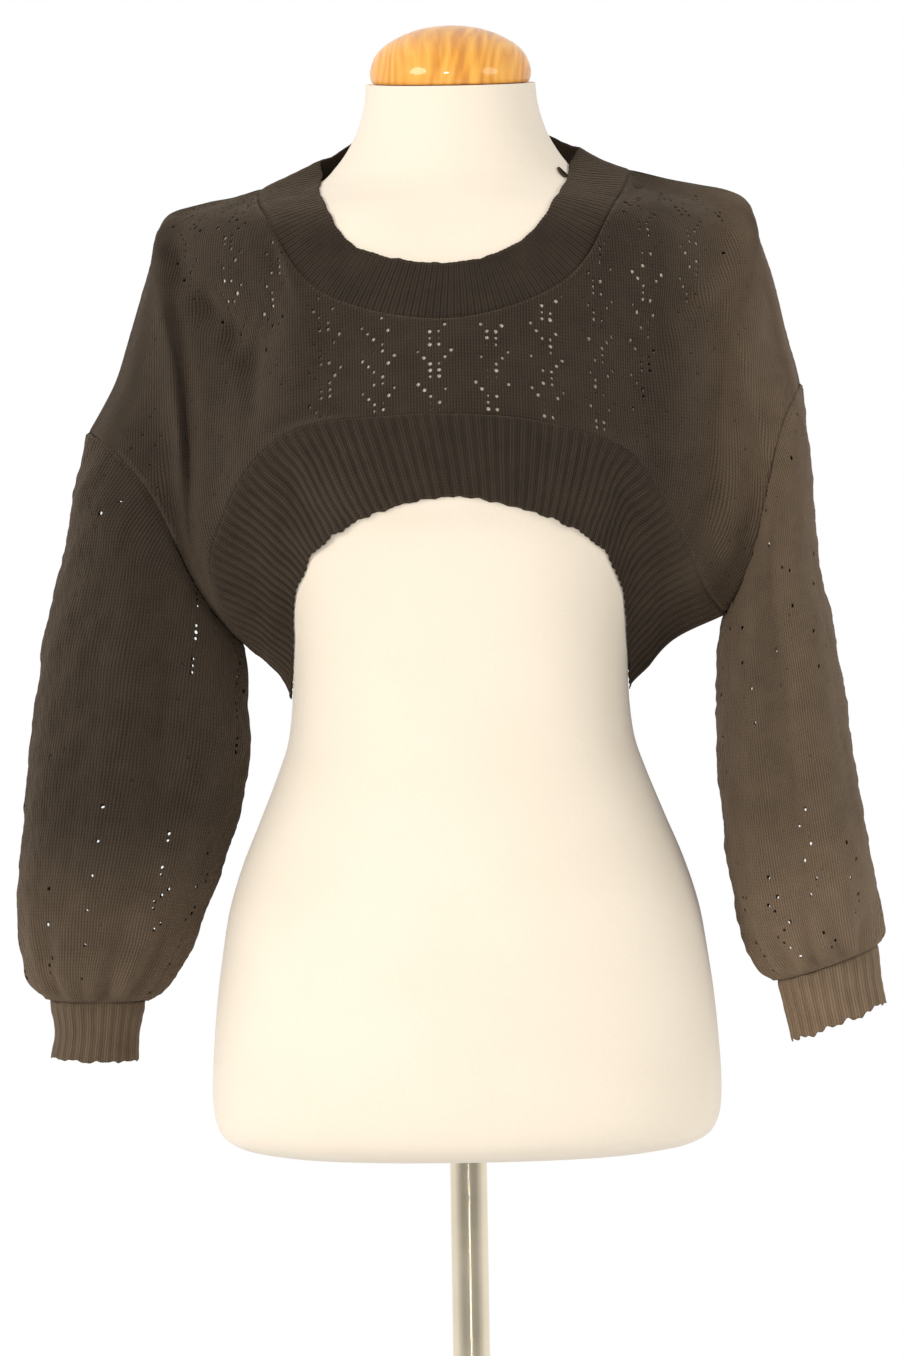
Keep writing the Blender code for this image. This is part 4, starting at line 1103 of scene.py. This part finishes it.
# A loose end of yarn has worked out of the neckband's right edge and lies curled on the neck.
YARN_END = [
    # x, y, z
    (82, -33, 1400), (79, -32, 1404), (77, -32, 1408), (74, -32, 1409), (73, -33, 1406),
    (75, -34, 1404), (77, -34, 1405),
]
YARN_RADIUS = 0.8
YARN_GAP = 0.2
YARN_SIDES = 8
YARN_RINGS = 43
yarn_path = keep_clear(np.array(YARN_END, float), YARN_RADIUS + YARN_GAP, lay=True)
yarn_path = along(yarn_path, np.linspace(0, len(YARN_END) - 1, YARN_RINGS))
bm = bmesh.new()
stitch_map = bm.loops.layers.uv.new("stitches")
rings = []
for point, way in zip(yarn_path, np.gradient(yarn_path, axis=0)):
    turn = Vector(way).to_track_quat("Z", "Y")
    ring = []
    for side in range(YARN_SIDES):
        angle = 2 * math.pi * side / YARN_SIDES
        out = turn @ Vector((math.cos(angle), math.sin(angle), 0)) * YARN_RADIUS
        ring.append(bm.verts.new((Vector(point) + out) * MM))
    rings.append(ring)
for row, (near, far) in enumerate(zip(rings, rings[1:])):
    for side in range(YARN_SIDES):
        face = bm.faces.new((near[side], near[side - 1], far[side - 1], far[side]))
        for loop in face.loops:
            loop[stitch_map].uv = (side / YARN_SIDES, row / 3)
for ring in (rings[0], rings[-1]):
    bm.faces.new(ring)
bmesh.ops.recalc_face_normals(bm, faces=bm.faces)
yarn_end = finished_piece("neck_yarn_end", bm, neck_yarn)
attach(yarn_end, "root")

# The hem bands are deep ribs knitted on below the front and the back, arched high over the waist,
# and joined by two short side seams. Their free edge is a little scalloped and worn.
HEM_EDGE = [
    # x, y, z
    (-111.5, 0, 1066), (-110.5, -14, 1080), (-108.5, -27, 1099), (-107.5, -40, 1126), (-96, -70, 1154),
    (-85, -84, 1163), (-70, -97, 1172), (-48, -111, 1180), (-17, -121, 1188), (11, -121, 1188),
    (48, -111, 1179), (75, -94, 1169), (90, -78, 1160), (99, -64, 1151), (106, -42, 1130),
    (108, -27, 1105), (108.5, -14, 1086), (109, 0, 1069),
]
SIDE_LEFT = [(-140.5, 0, 1102), (-130.5, 0, 1095), (-121, 0, 1084.5), (-111.5, 0, 1066)]
SIDE_RIGHT = [(173, 0, 1116), (151, 0, 1108), (128, 0, 1091), (109, 0, 1069)]
BAND_ROWS = 2
HEM_RIBS = 80
HEM_RIB_HEIGHT = 0.9


def band(top, bottom, left, right):
    """A hem band between its seam, its free edge and its two side seams."""
    u = np.linspace(0, 1, len(top))[None, :, None]
    v = np.linspace(0, 1, BAND_ROWS + 1)[:, None, None]
    left = evenly(left, BAND_ROWS)
    right = evenly(right, BAND_ROWS)
    sides = (1 - u) * left[:, None] + u * right[:, None]
    upper = (1 - v) * (top[None] - (1 - u) * top[0] - u * top[-1])
    lower = v * (bottom[None] - (1 - u) * bottom[0] - u * bottom[-1])
    return sides + upper + lower


hem_front_edge = keep_clear(evenly(HEM_EDGE, PANEL_COLUMNS), BAND + EASE)
hem_back_edge = keep_clear(evenly(behind(HEM_EDGE), PANEL_COLUMNS), BAND + EASE)
hem_back_edge[0] = hem_front_edge[0]
hem_back_edge[-1] = hem_front_edge[-1]
band_front = keep_clear(band(rib_front, hem_front_edge, SIDE_LEFT, SIDE_RIGHT), BAND + EASE)
band_back = keep_clear(band(rib_back, hem_back_edge, SIDE_LEFT, SIDE_RIGHT), BAND + EASE)
for edge in (0, -1):
    band_back[:, edge] = band_front[:, edge]
band_front[0], band_back[0] = rib_front, rib_back
# The last number is how strong the painted shade in the rib furrows is.
rib_yarn = yarn("ribbed_yarn", 0.5, 4.0, 0.2)
for name, rows, seed in (("hem_front", band_front, 71), ("hem_back", band_back, 79)):
    piece = knit_ribbed(name + "_rib", rows, closed=False, ribs=HEM_RIBS, steps=6, courses=26,
                        height=HEM_RIB_HEIGHT, wales=4, material=rib_yarn, seed=seed, ragged=0.8)
    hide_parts(name)

# The cuffs are close ribs that gather the sleeves and stand open at their lower ends.
# The right one is stretched and ragged at its edge.
CUFF_LEFT = [
    # out_x, out_z, in_x, in_z, half_depth
    (-270, 873, -208, 872, 29),
    (-267, 859, -211, 859, 27.5),
    (-267, 847, -214, 846, 27),
    (-269.5, 836, -214, 833, 28),
]
CUFF_RIGHT = [
    # out_x, out_z, in_x, in_z, half_depth
    (268, 900, 203, 878, 30),
    (268.5, 888, 206, 866, 28),
    (270, 876, 209.5, 852, 27.5),
    (272, 864, 212, 839, 28.5),
]
CUFF_ROWS = 2
CUFF_RIBS = 24
CUFF_RIB_HEIGHT = 0.9
for name, table, seed, ragged in (("cuff_left", CUFF_LEFT, 83, 0.6),
                                  ("cuff_right", CUFF_RIGHT, 97, 1.5)):
    piece = knit_ribbed(name + "_rib", tube(table, CUFF_ROWS), closed=True, ribs=CUFF_RIBS, steps=8,
                        courses=20, height=CUFF_RIB_HEIGHT, wales=4, material=rib_yarn, seed=seed,
                        hug=False, ragged=ragged)
    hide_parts(name)

# The floor is a plain pale studio floor, and the room is a tent, white behind and grey in front.
# The floor ends behind the stand, so the picture's background is the tent's own white.
# Three soft lamps stand in front, and a small low one draws the bright line down the pole.
FLOOR_RADIUS = 1.9
TENT_WHITE = 1.0
ROOM_GREY = 0.35
FLOOR_TONES = (0.86, 0.89)
LAMP_COLOUR = (1.0, 0.97, 0.90)
LAMP_AIM = (0, 0, 1.2)
LAMPS = [
    # x, y, z, size, power
    (-2.0, -1.9, 1.9, 1.2, 46.0),
    (2.2, -1.4, 1.7, 1.2, 20.0),
    (-0.25, -2.75, 1.5, 0.35, 22.0),
    (0.0, -2.6, 0.25, 0.10, 1.2),
]
bm = bmesh.new()
bmesh.ops.create_circle(bm, cap_ends=True, segments=128, radius=FLOOR_RADIUS)
floor_material, tree, shader = new_material("pale_floor", 0.7)
place = node(tree, "ShaderNodeTexCoord").outputs["Object"]
tones = [(stop, (tone,) * 3) for stop, tone in zip((0.3, 0.7), FLOOR_TONES)]
tree.links.new(ramp(tree, noise(tree, place, 30.0), tones), shader.inputs["Base Color"])
floor = finished_piece("floor", bm, floor_material)

world = bpy.data.worlds.new("white_tent")
world.use_nodes = True
tree = world.node_tree
way = node(tree, "ShaderNodeTexCoord").outputs["Generated"]
way = node(tree, "ShaderNodeSeparateXYZ", {"Vector": way}).outputs["Y"]
tent = ramp(tree, mapped_range(tree, way, -1.0, 1.0, 0.0, 1.0),
            [(0.15, (ROOM_GREY,) * 3), (0.55, (1.0, 1.0, 1.0))])
tree.links.new(tent, tree.nodes["Background"].inputs["Color"])
tree.nodes["Background"].inputs["Strength"].default_value = TENT_WHITE
bpy.context.scene.world = world
bpy.context.scene.view_settings.view_transform = "Standard"
for index, (x, y, z, size, power) in enumerate(LAMPS):
    lamp_data = bpy.data.lights.new(f"lamp_{index}", "AREA")
    lamp_data.shape = "DISK"
    lamp_data.size = size
    lamp_data.energy = power
    lamp_data.color = LAMP_COLOUR
    lamp = bpy.data.objects.new(f"lamp_{index}", lamp_data)
    lamp.location = (x, y, z)
    lamp.rotation_euler = (Vector(LAMP_AIM) - lamp.location).to_track_quat("-Z", "Y").to_euler()
    bpy.context.scene.collection.objects.link(lamp)
